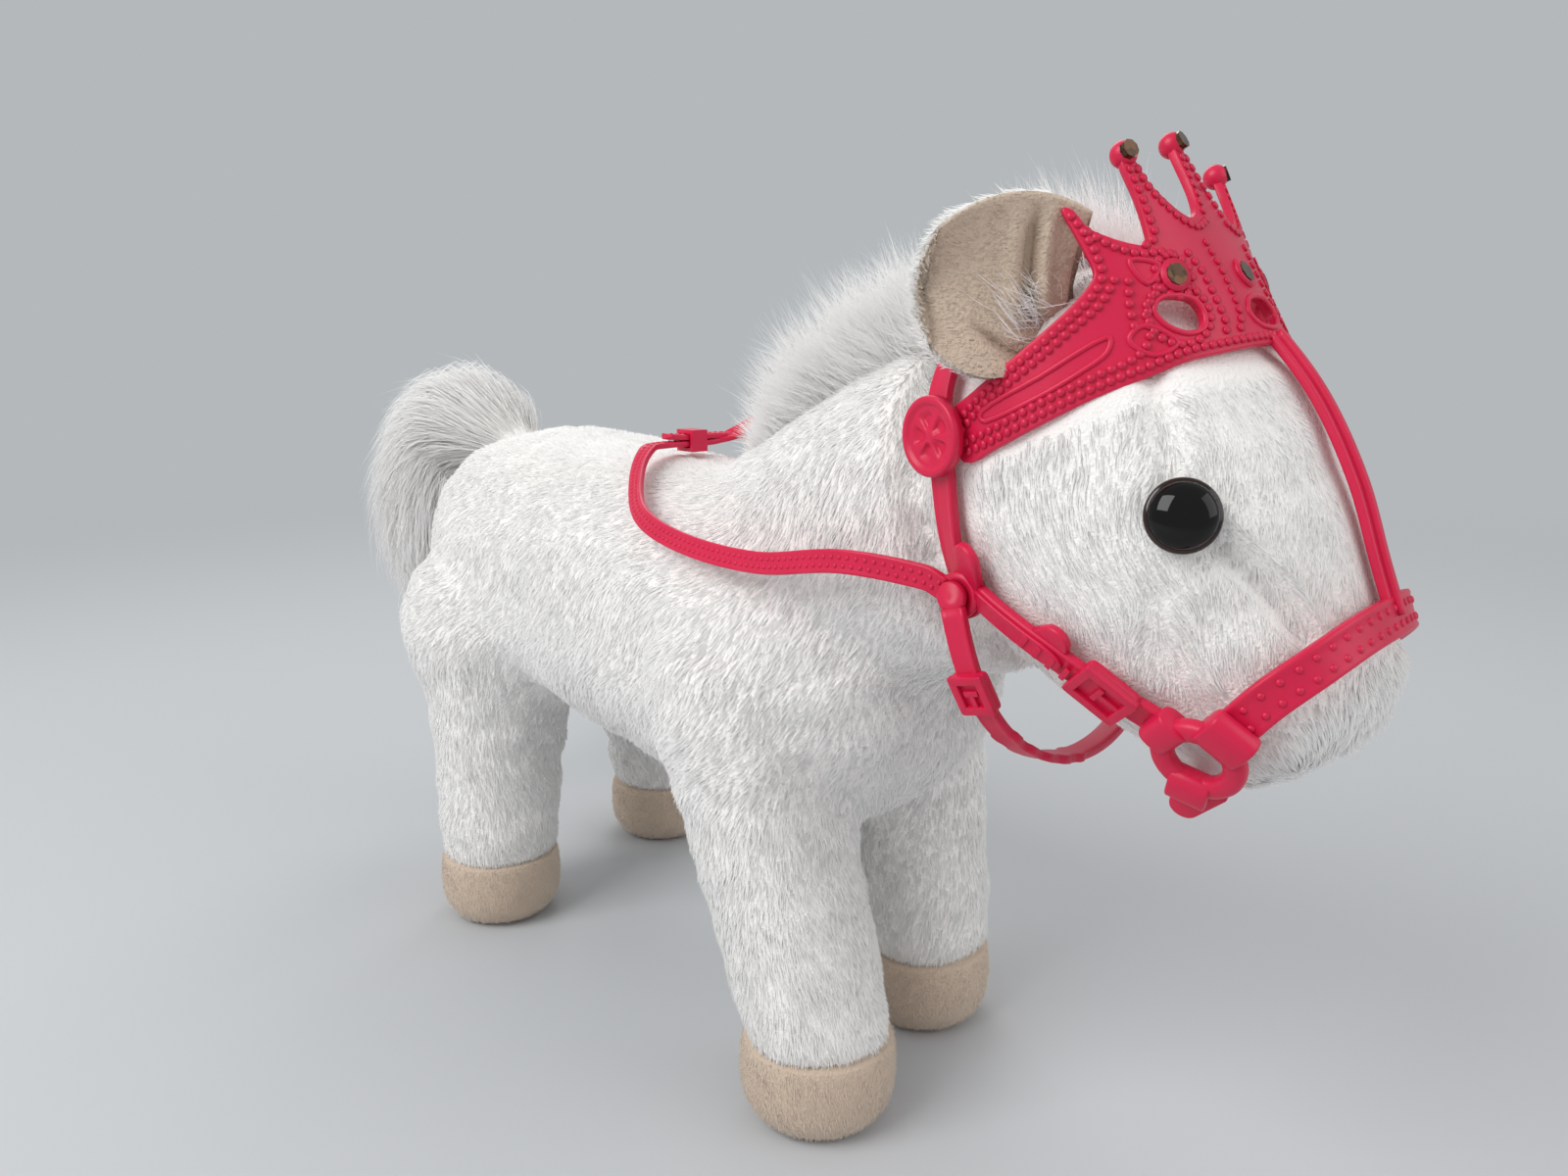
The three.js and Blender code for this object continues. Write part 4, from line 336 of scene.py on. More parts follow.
def piece(name, shape, body, material, replaces=(), smooth=True):
    """A mesh object in the model's frame from a shape in drawing millimetres, which rides on a body."""
    points, faces = shape
    mesh = bpy.data.meshes.new(name)
    mesh.vertices.add(len(points))
    mesh.vertices.foreach_set("co", metres(points).astype(np.float32).ravel())
    corners = np.concatenate([face.ravel() for face in faces]).astype(np.int32)
    sizes = np.concatenate([np.full(len(face), face.shape[1]) for face in faces])
    mesh.loops.add(len(corners))
    mesh.loops.foreach_set("vertex_index", corners)
    mesh.polygons.add(len(sizes))
    mesh.polygons.foreach_set("loop_start", np.concatenate([[0], np.cumsum(sizes)[:-1]]).astype(np.int32))
    mesh.polygons.foreach_set("use_smooth", np.full(len(sizes), smooth))
    mesh.update(calc_edges=True)
    made = linked(name, mesh)
    mesh.materials.append(material)
    if body:
        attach(made, body)
    if replaces:
        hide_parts(*replaces)
    return made


# Materials
def linear(hex_colour):
    """An sRGB hex colour as linear red, green, blue and 1: up to 0.04045 over 12.92, above it the 2.4 power
    of the value plus 0.055 over 1.055."""
    value = np.array([int(hex_colour[i : i + 2], 16) for i in (1, 3, 5)]) / 255
    low, high = value / 12.92, ((value + 0.055) / 1.055) ** 2.4
    return (*np.where(value <= 0.04045, low, high), 1.0)


def node(tree, kind, inputs=None, **settings):
    """Adds one shader node with its settings. inputs gives each socket a value or another node's output."""
    made = tree.nodes.new("ShaderNode" + kind)
    for name, value in settings.items():
        setattr(made, name, value)
    for key, value in (inputs or {}).items():
        if isinstance(value, bpy.types.NodeSocket):
            tree.links.new(value, made.inputs[key])
        else:
            made.inputs[key].default_value = value
    return made


def surface(name, **values):
    """A new material with one Principled shader, whose plain values are set on its own sockets."""
    material = bpy.data.materials.new(name)
    material.use_nodes = True
    tree = material.node_tree
    shader = tree.nodes["Principled BSDF"]
    for key, value in values.items():
        shader.inputs[key.replace("_", " ")].default_value = value
    return material, tree, shader


def per_mm(size):
    """The Scale of a noise or Voronoi pattern on Object coordinates with features size millimetres across."""
    return 1000 / size


def two_colours(tree, shader, factor, first, second):
    """Links a mix of two hex colours by the factor to the shader's base colour."""
    mixed = node(tree, "Mix", {0: factor, 6: linear(first), 7: linear(second)}, data_type="RGBA")
    tree.links.new(mixed.outputs[2], shader.inputs["Base Color"])
    return mixed


def bump(tree, shader, height, distance, strength=1.0):
    """Links a height to the shader's normal through a bump of the distance in millimetres."""
    made = node(tree, "Bump", {"Strength": strength, "Distance": distance / 1000, "Height": height})
    tree.links.new(made.outputs[0], shader.inputs["Normal"])


def strand_fabric(name, root, tip, sheen, size):
    """Acrylic pile: matt fibres with a soft sheen, with painted shade that makes each hair darker at the root,
    where the fibres shade each other, and cloudy where the nap is brushed.
    """
    material, tree, shader = surface(
        name, Roughness=0.75, Sheen_Weight=sheen, Sheen_Roughness=0.45, IOR=1.5, Subsurface_Weight=0.6,
        Subsurface_Scale=0.0012, Subsurface_Radius=(1, 1, 1),
    )
    # Painted shade: the shade attribute darkens each hair towards its root, where the fibres shade each other
    shade = node(tree, "Attribute", attribute_name="shade")
    place = node(tree, "TexCoord")
    cloud = node(tree, "TexNoise", {"Vector": place.outputs["Object"], "Scale": per_mm(size), "Detail": 3.0})
    less = node(tree, "Math", {0: cloud.outputs[0], 1: 0.35, 2: -0.17}, operation="MULTIPLY_ADD")
    added = node(tree, "Math", {0: shade.outputs["Fac"], 1: less.outputs[0]}, operation="ADD", use_clamp=True)
    two_colours(tree, shader, added.outputs[0], root, tip)
    return material


def backing_fabric(name, dark, light, size):
    """The woven backing under the pile, streaked by the fibres that lie on it."""
    material, tree, shader = surface(name, Roughness=0.9, Sheen_Weight=0.2, Sheen_Roughness=0.5, IOR=1.5)
    place = node(tree, "TexCoord")
    fibres = node(tree, "TexNoise", {"Vector": place.outputs["Object"], "Scale": per_mm(size), "Detail": 4.0})
    two_colours(tree, shader, fibres.outputs[0], dark, light)
    bump(tree, shader, fibres.outputs[0], 0.6)
    return material


def moulded(name, dark, light, roughness, grain, depth, coat=0.0, **values):
    """Moulded plastic: one colour, a little uneven where it flowed, with a fine texture from the mould."""
    material, tree, shader = surface(name, Roughness=roughness, IOR=1.5, Coat_Weight=coat, **values)
    place = node(tree, "TexCoord")
    flow = node(tree, "TexNoise", {"Vector": place.outputs["Object"], "Scale": per_mm(9), "Detail": 2.0})
    two_colours(tree, shader, flow.outputs[0], dark, light)
    fine = node(tree, "TexNoise", {"Vector": place.outputs["Object"], "Scale": per_mm(grain), "Detail": 3.0})
    bump(tree, shader, fine.outputs[0], depth)
    return material


# White acrylic plush: bright and matt; its hairs carry painted shade, a little warmer and darker towards the root,
# where the fibres shade each other
PLUSH = strand_fabric("acrylic_plush_pile", "#f6f4f1", "#fefefd", 0.35, 14)
PLUSH_BACKING = backing_fabric("acrylic_plush_backing", "#f3f0ec", "#fbfaf8", 0.8)
# Long acrylic fur of the mane, forelock and tail: smoother fibres with more gloss than the short plush, and
# painted shade that darkens each hair towards its root
LONG_FUR = strand_fabric("long_acrylic_fur", "#f5f2ee", "#fefdfc", 0.3, 20)
# Beige velboa, a polyester pile of about 1 mm, on hooves and ear linings; its hairs carry painted shade, darker
# towards the root
VELBOA = strand_fabric("polyester_velboa_pile", "#c2ac96", "#decbb7", 0.35, 10)
VELBOA_BACKING = backing_fabric("polyester_velboa_backing", "#c6b19c", "#d6c2af", 0.7)
# Soft pink PVC, injection moulded: satin, with light scattered a little way below the surface
PINK_PVC = moulded("soft_pvc_pink", "#c8123f", "#d91b4b", 0.38, 0.5, 0.03, Subsurface_Weight=0.08,
                   Subsurface_Scale=0.001, Specular_IOR_Level=0.4)
# Safety eye: polished black PMMA over a dark brown ring
EYE_BLACK = moulded("polished_acrylic_eye", "#050404", "#080606", 0.05, 2.0, 0.004, Specular_IOR_Level=0.32)
EYE_BROWN = moulded("brown_acrylic_iris", "#1d0f0a", "#2e170e", 0.15, 1.0, 0.01)
# Battery module and mechanism
WHITE_ABS = moulded("abs_white_textured", "#e3e1da", "#ecebe5", 0.42, 0.6, 0.04)
ACETAL = moulded("acetal_natural", "#dfdcd2", "#eceae2", 0.3, 1.5, 0.02)
BLACK_ABS = moulded("abs_black", "#141414", "#1d1d1d", 0.4, 0.6, 0.03)
CELL_SLEEVE = moulded("shrink_sleeve_pvc", "#1d2f63", "#274081", 0.25, 3.0, 0.01, coat=0.3)
BOARD_GREEN = moulded("solder_resist_green", "#0d4a2a", "#146338", 0.28, 1.2, 0.02, coat=0.4)


def rolled_steel():
    """Bright plated steel: drawn along one way, with faint lines 0.3 mm apart."""
    material, tree, shader = surface("plated_steel", Roughness=0.28, Metallic=1.0)
    place = node(tree, "TexCoord")
    stretch = node(tree, "Mapping", {"Vector": place.outputs["Object"], "Scale": (0.08, 1.0, 1.0)})
    lines = node(tree, "TexNoise", {"Vector": stretch.outputs[0], "Scale": per_mm(0.6), "Detail": 2.0})
    two_colours(tree, shader, lines.outputs[0], "#a9abad", "#c9cbcc")
    bump(tree, shader, lines.outputs[0], 0.02)
    return material


STEEL = rolled_steel()


def foiled_gem():
    """Faceted acrylic with bronze foil behind it: glossy, with painted reflections of the facets: patches of
    dark and brown bronze about 1.3 mm across stand in for the light that the cut throws back."""
    material, tree, shader = surface("foiled_acrylic_gem", Roughness=0.1, Metallic=0.55, IOR=1.49)
    place = node(tree, "TexCoord")
    # Painted reflection: each Voronoi cell, about 1.3 mm across, is a facet throwing back dark or bright bronze
    patches = node(tree, "TexVoronoi", {"Vector": place.outputs["Object"], "Scale": per_mm(1.3)})
    two_colours(tree, shader, patches.outputs["Color"], "#140b07", "#6e4a2c")
    return material


DARK_GEM = foiled_gem()


# The head's own
def turned_about_nod(points, angle):
    """Turned by the angle about the upright line through the nod axis."""
    c, s = np.cos(angle), np.sin(angle)
    turned = np.array(points, float)
    x, y = turned[..., 0] - NOD_AXIS[0], turned[..., 1].copy()
    turned[..., 0], turned[..., 1] = NOD_AXIS[0] + c * x - s * y, s * x + c * y
    return turned


def looking(points):
    """Points of the straight head, turned to where the head looks."""
    return turned_about_nod(points, HEAD_TURN)


def looking_back(points):
    """The reverse of the head's look."""
    return turned_about_nod(points, -HEAD_TURN)


def looking_shape(shape):
    """A shape of the straight head, turned to where the head looks."""
    return looking(shape[0]), shape[1]


def head_point(s, angle, lift=0.0):
    """On the straight head: the line's point at s, plus the oval's height along the head's up and its width
    to the right, plus the lift along the surface's normal. The angle is in degrees from the face's middle to
    the right."""
    s, angle, lift = np.broadcast_arrays(*(np.asarray(v, float) for v in (s, angle, lift)))
    rows = between(HEAD, s)
    u, w = oval(np.radians(angle), BODY_POWER)
    point = HEAD_BACK + s[..., None] * HEAD_ALONG
    point = point + (u * np.where(u > 0, rows[..., 0], rows[..., 1]))[..., None] * HEAD_UP
    point[..., 1] -= w * rows[..., 2]
    return point + lift[..., None] * head_normal(s, angle) if np.any(lift) else point


def head_normal(s, angle):
    """Square to the surface: the cross product of its steps across and along."""
    across = head_point(s, angle + 2.0) - head_point(s, angle - 2.0)
    return unit(np.cross(across, head_point(s + 1.0, angle) - head_point(s - 1.0, angle)))


def head_frame(s, angle, lift):
    """A place on the head with the three directions ahead, across and out as rows."""
    s, angle = np.asarray(float(s)), np.asarray(float(angle))
    out = head_normal(s, angle)
    ahead = head_point(s + 1, angle) - head_point(s - 1, angle)
    across = unit(np.cross(out, ahead))
    return head_point(s, angle, lift), np.stack([np.cross(across, out), across, out])


def mirrored(shape):
    """The same shape on the other side of the middle plane, its faces turned to point outwards again."""
    return shape[0] * [1, -1, 1], [face[:, ::-1] for face in shape[1]]


# What makes each side's shape from the right one's
SIDES = {"right": lambda shape: shape, "left": mirrored}


# Plush skin
def torso_form(grow, rows=70, sides=48):
    """Ovals along X, between the top and bottom lines and as wide as the rows say."""
    x = np.linspace(TORSO[0, 0], TORSO[-1, 0], rows)
    top, bottom, half = between(TORSO, x).T
    up, out = oval(full_turn(sides), BODY_POWER)
    z = ((top + bottom) / 2)[:, None] + up * np.maximum((top - bottom) / 2 + grow, 1)[:, None]
    y = out * np.maximum(half + grow, 1)[:, None]
    shrink = 1 + 2 * grow / (TORSO[-1, 0] - TORSO[0, 0])
    x = (x - x.mean()) * shrink + x.mean()
    return closed_tube(np.stack([np.repeat(x[:, None], sides, 1), y, z], -1))


def tube_rings(rows, grow, power, count, sides):
    """Ovals square to a line in the middle plane, as tall and wide as the rows say plus the growth."""
    line = smooth_line(rows, count)
    along = unit(np.gradient(line[:, :2], axis=0))
    u, w = oval(full_turn(sides), power)
    tall, half = np.maximum(line[:, 2:3] + grow, 0.5), np.maximum(line[:, 3:4] + grow, 0.5)
    x = line[:, :1] - along[:, 1:] * u * tall
    z = line[:, 1:2] + along[:, :1] * u * tall
    return np.stack([x, w * half, z], -1)


def head_form(grow, rows=60, sides=64):
    """The head's own surface, from its back to the muzzle, lifted by the growth."""
    s = np.linspace(HEAD[0, 0] + 0.3, HEAD[-1, 0] - 0.3, rows)[:, None]
    angle = np.linspace(0, 360, sides, endpoint=False)[None]
    return looking_shape(closed_tube(head_point(s, angle, np.full((rows, sides), float(grow)))))


def leg_rows(upper):
    """Heights and radii down a leg: slim above the hoof and swelling to the hip."""
    return np.array([
        [22, 20.5], [24.3, 20.6], [29, 21.8], [46, 22.7], [66, (86 + upper) / 5 + 0.6],
        [86, (21.5 + upper) / 2], [108, upper - 0.5], [124, upper - 2], [132, upper - 9],
    ])


def leg_form(leg, grow, rows=40, sides=40):
    """Circles whose middle goes straight from the foot to the hip."""
    foot, hip, upper = LEGS[leg]
    z = np.linspace(LEG_BOTTOM, HIP_TOP, rows)
    radius = between(leg_rows(upper), z)[:, 0] + grow
    share = ((z - HOOF_TOP) / (HIP_TOP - HOOF_TOP))[:, None]
    middle = np.array(foot) + (np.array(hip) - foot) * share
    turn = full_turn(sides)
    x = middle[:, :1] + radius[:, None] * np.cos(turn)
    y = middle[:, 1:] + radius[:, None] * np.sin(turn)
    return closed_tube(np.stack([x, y, np.repeat(z[:, None], sides, 1)], -1))


# How far the skin lies inside the drawing's forms, and the size of its cells in metres
SKIN_INSET, CELL = -1.2, 0.0024
PLUSH_NODES = [
    "torso", "neck", "head", "leg_front_right", "leg_front_left", "leg_rear_right", "leg_rear_left",
]
# The belly's opening: its low and high corner
MOUTH = np.array([[-39.0, -27.0, 60.0], [30.0, 30.3, 92.0]])


def places_and_normals(mesh):
    """A mesh's vertices in drawing millimetres, and their normals."""
    points = np.zeros(len(mesh.vertices) * 3, np.float32)
    normals = np.zeros_like(points)
    mesh.vertices.foreach_get("co", points)
    mesh.vertices.foreach_get("normal", normals)
    return points.reshape(-1, 3) * 1000 - DRAWING_SHIFT, normals.reshape(-1, 3)


def plush_skin():
    """One sewn skin: the body's forms drawn in by the pile's height, remeshed as one surface and smoothed."""
    neck_form = closed_tube(tube_rings(NECK, SKIN_INSET, 2.1, 40, 48))
    forms = [torso_form(SKIN_INSET), neck_form, head_form(SKIN_INSET)]
    forms += [leg_form(leg, SKIN_INSET) for leg in LEGS]
    skin = piece("plush_skin", together(forms), None, PLUSH_BACKING)
    bpy.context.view_layer.objects.active = skin
    remesh = skin.modifiers.new("one surface", "REMESH")
    remesh.mode, remesh.voxel_size = "VOXEL", CELL
    relax = skin.modifiers.new("relax", "SMOOTH")
    relax.factor, relax.iterations = 0.5, 14
    flattened = worked_out(skin)
    skin.modifiers.clear()
    skin.data = flattened
    points, normals = places_and_normals(flattened)
    # Stuffing lies a little unevenly under the cloth, and the seams draw it in
    lumps = 0.9 * wobble(points, 46, 3) + 0.4 * wobble(points, 17, 4)
    lumps = lumps + 0.5 * wobble(points * [0.6, 0.6, 1.5], 30, 5)
    for line, depth, width in seams():
        lumps = lumps - depth * np.exp(-((distance_to(points, line) / width) ** 2))
    points = points + normals * lumps[:, None]
    flattened.vertices.foreach_set("co", metres(points).astype(np.float32).ravel())
    flattened.update()
    cut_belly(skin)
    flattened = skin.data
    flattened.polygons.foreach_set("use_smooth", np.full(len(flattened.polygons), True))
    flattened.materials.clear()
    flattened.materials.append(PLUSH_BACKING)
    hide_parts(*PLUSH_NODES)
    return skin


def seams():
    """The sewn lines as points, with how deep and wide each draws the cloth in: on the cheek from the eye,
    over the brow, under the cheek and along the back."""
    lines = []
    for route, depth, width in (
        ([[62, 58], [70, 53], [78, 47], [87, 42]], 4.2, 2.8),
        ([[24, 40], [38, 50], [49, 58]], 3.2, 2.6),
        ([[66, 84], [74, 92], [82, 96], [88, 97]], 1.2, 3.0),
    ):
        rows = smooth_line(route, 40)
        for side in (1, -1):
            lines.append((looking(head_point(rows[:, 0], side * rows[:, 1])), depth, width))
    x = np.linspace(-118, 14, 90)
    lines.append((np.stack([x, 0 * x, between(TORSO, x)[:, 0]], -1), 0.9, 2.2))
    return lines


def cut_belly(skin):
    """Opens the belly over the battery module by taking a box from the skin."""
    low, high = MOUTH
    bm = bmesh.new()
    bmesh.ops.create_cube(bm, size=1)
    corners = np.array([v.co for v in bm.verts]) + 0.5
    for vertex, corner in zip(bm.verts, metres(low + corners * (high - low))):
        vertex.co = corner
    mesh = bpy.data.meshes.new("belly_cutter")
    bm.to_mesh(mesh)
    bm.free()
    cutter = linked("belly_cutter", mesh)
    boolean = skin.modifiers.new("belly", "BOOLEAN")
    boolean.operation, boolean.object, boolean.solver = "DIFFERENCE", cutter, "EXACT"
    cut = worked_out(skin)
    skin.modifiers.clear()
    skin.data = cut
    bpy.data.objects.remove(cutter)


# Pile and hairs
def sampled(mesh, count, seed, keep=None):
    """Places spread over a mesh by area, each with its smooth normal, in drawing millimetres."""
    mesh.calc_loop_triangles()
    corners = np.zeros(len(mesh.loop_triangles) * 3, np.int32)
    mesh.loop_triangles.foreach_get("vertices", corners)
    corners = corners.reshape(-1, 3)
    points, normals = places_and_normals(mesh)
    a, b, c = (points[corners[:, k]] for k in range(3))
    area = np.linalg.norm(np.cross(b - a, c - a), axis=1) / 2
    if keep is not None:
        area = area * keep((a + b + c) / 3)
    random = np.random.default_rng(seed)
    count = int(count * area.sum())
    chosen = np.searchsorted(np.cumsum(area), random.uniform(0, area.sum(), count))
    chosen = np.minimum(chosen, len(area) - 1)
    u, v = random.uniform(size=(2, count, 1))
    over = (u + v) > 1
    u, v = np.where(over, 1 - u, u), np.where(over, 1 - v, v)
    place = a[chosen] * (1 - u - v) + b[chosen] * u + c[chosen] * v
    normal = normals[corners[chosen, 0]] * (1 - u - v) + normals[corners[chosen, 1]] * u
    return place, unit(normal + normals[corners[chosen, 2]] * v)


def clumped(lines, size, amount, seed):
    """Draws the tips of neighbouring hairs together: each hair moves towards the first hair of its wavy cell
    of the given size, by a share that rises from nothing at the root to the amount at the tip."""
    roots = lines[:, 0]
    waved = roots + size * 0.5 * np.stack([wobble(roots, size * 3.1, seed + k) for k in range(3)], -1)
    cells = np.floor(waved / size).astype(np.int64)
    cells -= cells.min(0)
    span = cells.max(0) + 1
    keys = (cells[:, 0] * span[1] + cells[:, 1]) * span[2] + cells[:, 2]
    _, first, group = np.unique(keys, return_index=True, return_inverse=True)
    guides = lines[first][group.ravel()]
    share = amount * np.linspace(0, 1, lines.shape[1])[None, :, None] ** 1.3
    return lines + (guides - lines) * share


# The most triangles of one piece of hairs: the exporter takes fewer than 200,000
HAIR_TRIANGLES = 190000


def hairs(name, lines, widths, facing, body, material, replaces=(), seed=1, ends=(0.0, 1.0),
          cut=0.85):
    """Tapered three-sided hairs along lines of points, closed at both ends, in pieces of a limited size. One
    flat side of each looks the way of facing, and the sides aren't smoothed, so that a hair is lit as the
    cloth under it is. A ring's radius is half the hair's width times the square root of one minus the cut
    times its share of the length, and the last point is the tip. The shade attribute is painted shade: it
    rises between the two ends from root to tip, so that a hair is darker at its root, where the hairs shade
    each other, and it differs from hair to hair by a random tone."""
    count, steps = lines.shape[:2]
    triangles = 6 * (steps - 2) + 4
    parts = max(1, int(np.ceil(count * triangles / HAIR_TRIANGLES)))
    random = np.random.default_rng(seed)
    order = np.argsort(wobble(lines[:, 0], 300, seed) + 0.002 * random.normal(size=count), kind="stable")
    tone = random.uniform(-0.15, 0.15, count)
    made = []
    for part in range(parts):
        chosen = order[part::parts] if parts > 1 else order
        some, width = lines[chosen], np.broadcast_to(widths, (count,))[chosen]
        along = unit(some[:, 1:] - some[:, :-1])
        side = unit(np.cross(along, facing[chosen][:, None]))
        other = np.cross(along, side)
        turn = np.radians([90, 210, 330])[None, None, :, None]
        share = np.linspace(0, 1, steps)[:-1]
        radius = (width[:, None] / 2 * np.sqrt(np.maximum(1 - share * cut, 0.05)))[..., None, None]
        spokes = np.cos(turn) * side[:, :, None] + np.sin(turn) * other[:, :, None]
        rings = some[:, :-1, None] + radius * spokes
        size = 3 * (steps - 1) + 1
        points = np.concatenate([rings.reshape(len(some), -1, 3), some[:, -1:]], 1).reshape(-1, 3)
        k = np.arange(3)
        after = (k + 1) % 3
        firsts = 3 * np.arange(steps - 2)
        ring = [np.stack([i + k, i + after, i + 3 + after, i + 3 + k], -1) for i in firsts]
        last = 3 * (steps - 2)
        tip = np.stack([last + k, last + after, np.full(3, size - 1)], -1)
        base = np.array([[2, 1, 0]])
        shift = (np.arange(len(some)) * size)[:, None, None]
        quads = (np.concatenate(ring)[None] + shift).reshape(-1, 4) if ring else np.zeros((0, 4), int)
        tris = (np.concatenate([tip, base])[None] + shift).reshape(-1, 3)
        faces = [quads, tris] if len(quads) else [tris]
        label = name if parts == 1 else f"{name}_{part + 1}"
        hair = piece(label, (points, faces), body, material, smooth=False)
        low, high = ends
        rise = np.concatenate([np.repeat(share, 3), [1.0]])
        # Painted shade: darker towards each hair's root, where the hairs shade each other, plus a random tone from
        # hair to hair
        shade = np.clip(low + (high - low) * rise[None] + tone[chosen][:, None], 0, 1)
        layer = hair.data.attributes.new("shade", "FLOAT", "POINT")
        layer.data.foreach_set("value", shade.astype(np.float32).ravel())
        hair_cells(hair.data, len(some), steps)
        if replaces and part == 0:
            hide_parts(*replaces)
        made.append(hair)
    return made


def hair_cells(mesh, count, steps):
    """Gives every hair its own cell of the bake: its length runs up the cell and its sides share it."""
    side = int(np.ceil(np.sqrt(count)))
    x, y = (np.arange(count) % side) / side, (np.arange(count) // side) / side
    height = 0.9 / side
    share = np.linspace(0, 1, steps)
    quad = []
    for i in range(steps - 2):
        quad.append([[0.05, share[i]], [0.95, share[i]], [0.95, share[i + 1]], [0.05, share[i + 1]]])
    quads = np.repeat(np.array(quad).reshape(-1, 1, 4, 2), 3, 1).reshape(-1, 2) if quad else np.zeros((0, 2))
    tip = np.array([[0.05, share[steps - 2]], [0.95, share[steps - 2]], [0.5, 1.0]])
    tris = np.concatenate([np.tile(tip, (3, 1)), [[0.05, 0.0], [0.95, 0.0], [0.5, 0.3]]])
    corner = np.stack([x, y], -1)[:, None]
    groups = [group for group in (quads, tris) if len(group)]
    uv = [(corner + group[None] * height + 0.05 / side).reshape(-1, 2) for group in groups]
    layer = mesh.uv_layers.new(name="OFBake")
    layer.data.foreach_set("uv", np.concatenate(uv).astype(np.float32).ravel())


def combed(places, normals, flow, lean, random, spread):
    """Directions of short hairs: the normal leaned by the angle towards the flow along the surface, plus a
    little of chance, and turned by slow noise as a brushed nap is."""
    lie = unit(flow - np.einsum("ij,ij->i", flow, normals)[:, None] * normals)
    side = np.cross(normals, lie)
    turn = 0.5 * wobble(places, 55, 11) + 0.16 * wobble(places, 15, 12)
    lie = lie * np.cos(turn)[:, None] + side * np.sin(turn)[:, None]
    streak = wobble(places * [0.35, 1, 0.35] + 0.3 * places[:, ::-1], 9, 13)
    lean = lean + 0.07 * streak + random.normal(scale=0.035, size=len(places))
    direction = normals * np.cos(lean)[:, None] + lie * np.sin(lean)[:, None]
    return unit(direction + random.normal(scale=spread, size=places.shape))


def straight_hairs(places, normals, directions, lengths, sunk):
    """Hairs of two points each: the place moved in along its normal by sunk, and from there its length along
    its direction."""
    roots = places - normals * sunk
    return np.stack([roots, roots + directions * lengths[:, None]], 1)


def way_from(places, line):
    """The way to each place from the nearest of the line's points, worked out in blocks."""
    ways = []
    for block in np.array_split(places, 200):
        gap = block[:, None] - line[None]
        ways.append(gap[np.arange(len(block)), (gap**2).sum(-1).argmin(1)])
    return np.concatenate(ways)


def distance_to(places, line):
    """Each place's distance to the nearest of the line's points."""
    return np.linalg.norm(way_from(places, line), axis=1)


def rising(values, low, high):
    """A smooth step from nought at low to one at high: 3t² - 2t³."""
    t = np.clip((values - low) / (high - low), 0, 1)
    return t * t * (3 - 2 * t)


def flow_field(places):
    """The way the nap lies: down and back on the body, straight down on the legs, down the face and forward
    on the muzzle, each going over smoothly into the next."""
    x, y, z = places.T
    flow = np.tile([-0.62, 0.0, -0.78], (len(places), 1))
    for share, way in (
        (rising(-z, -104, -76), [0.05, 0.0, -1.0]),
        (rising(x, 104, 140) * rising(z, 104, 124), [0.25, 0.0, -1.0]),
        (rising(x, 160, 185) * rising(-z, -176, -160), [0.6, 0.0, -0.8]),
    ):
        flow += share[:, None] * (way - flow)
    flow[:, 1] += 0.3 * np.sign(y) * rising(x, 104, 140)
    return flow


# Strap lines
def head_line(route, step=1.2):
    """A strap's route on the straight head as smooth rows of s and angle, about step millimetres apart."""
    rows = smooth_line(np.asarray(route, float) * [1, 0.7], 200) / [1, 0.7]
    length = lengths_along(head_point(rows[:, 0], rows[:, 1]))
    places = np.linspace(0, length[-1], max(int(length[-1] / step), 4))
    return at_lengths(rows, length, places)


def side_to_side(side, crossing=(), whole=0):
    """A route up one side of the head, through the crossing and down the other side, whose angles are the
    whole less the first side's."""
    return side + list(crossing) + [[s, whole - a] for s, a in reversed(side)]


HEADSTALL = head_line(side_to_side(HEADSTALL_SIDE))
CHEEK = head_line(CHEEK_ROUTE)
NOSE = head_line(side_to_side(NOSE_SIDE[:-1], NOSE_SIDE[-1:]))
CHIN = head_line(side_to_side(CHIN_SIDE, [[99, 180]], 360))
FACE = head_line(FACE_ROUTE)
JUNCTION = head_point(JUNCTION_S, JUNCTION_ANGLE)
# How far from the middle plane the reins' inner faces lie at the junctions
REIN_INNER = 38.5


def rein_rows(side):
    """Rows of one rein's inner face from the junction to the keeper: x, y and z, then the way that the strap
    faces."""
    level = 175.7 if side < 0 else 177.8
    first = looking([JUNCTION[0] - 3.5, side * REIN_INNER, JUNCTION[2] + 1])
    second = looking([JUNCTION[0] - 8, side * (REIN_INNER + 1), JUNCTION[2] + 3])
    return np.array([
        [*first, 0, side, 0], [*second, 0, side, 0], [116, side * 46, 161, 0, side, 0.1],
        [87, side * 47, 156.5, 0, side, 0.25], [55, side * 46.5, 157, -0.15, side, 0.35],
        [30, side * 42.5, 161, -0.35, side, 0.5], [10, side * 31, 168.5, -0.3, side, 1],
        [-4, side * 18, level - 0.6, 0, side * 0.25, 1], [-6, side * 11, level, 0, 0, 1],
        [-6, side * -3, level, 0, 0, 1], [-6, side * -10, level + 0.5, 0, 0.1 * side, 1],
    ] + ([[-3, 16, level + 3, 0.2, -0.7, 0.9], [0, 22, level + 6.5, 0.2, -1, 0.8]] if side < 0 else []))


REINS = {"right": smooth_line(rein_rows(-1), 190), "left": smooth_line(rein_rows(1), 190)}


def throat_line():
    """A U under the jaw: across by the cosine of the turn, down and forward by the 0.7 power of its sine."""
    t = np.linspace(0.015, np.pi - 0.015, 110)
    drop = np.sin(t) ** 0.7
    x = JUNCTION[0] + 11 * drop
    z = JUNCTION[2] + (116 - JUNCTION[2]) * drop
    points = np.stack([x, -41.1 * np.cos(t), z], -1)
    return points, np.stack([0 * t, -np.cos(t), -np.sin(t)], -1)


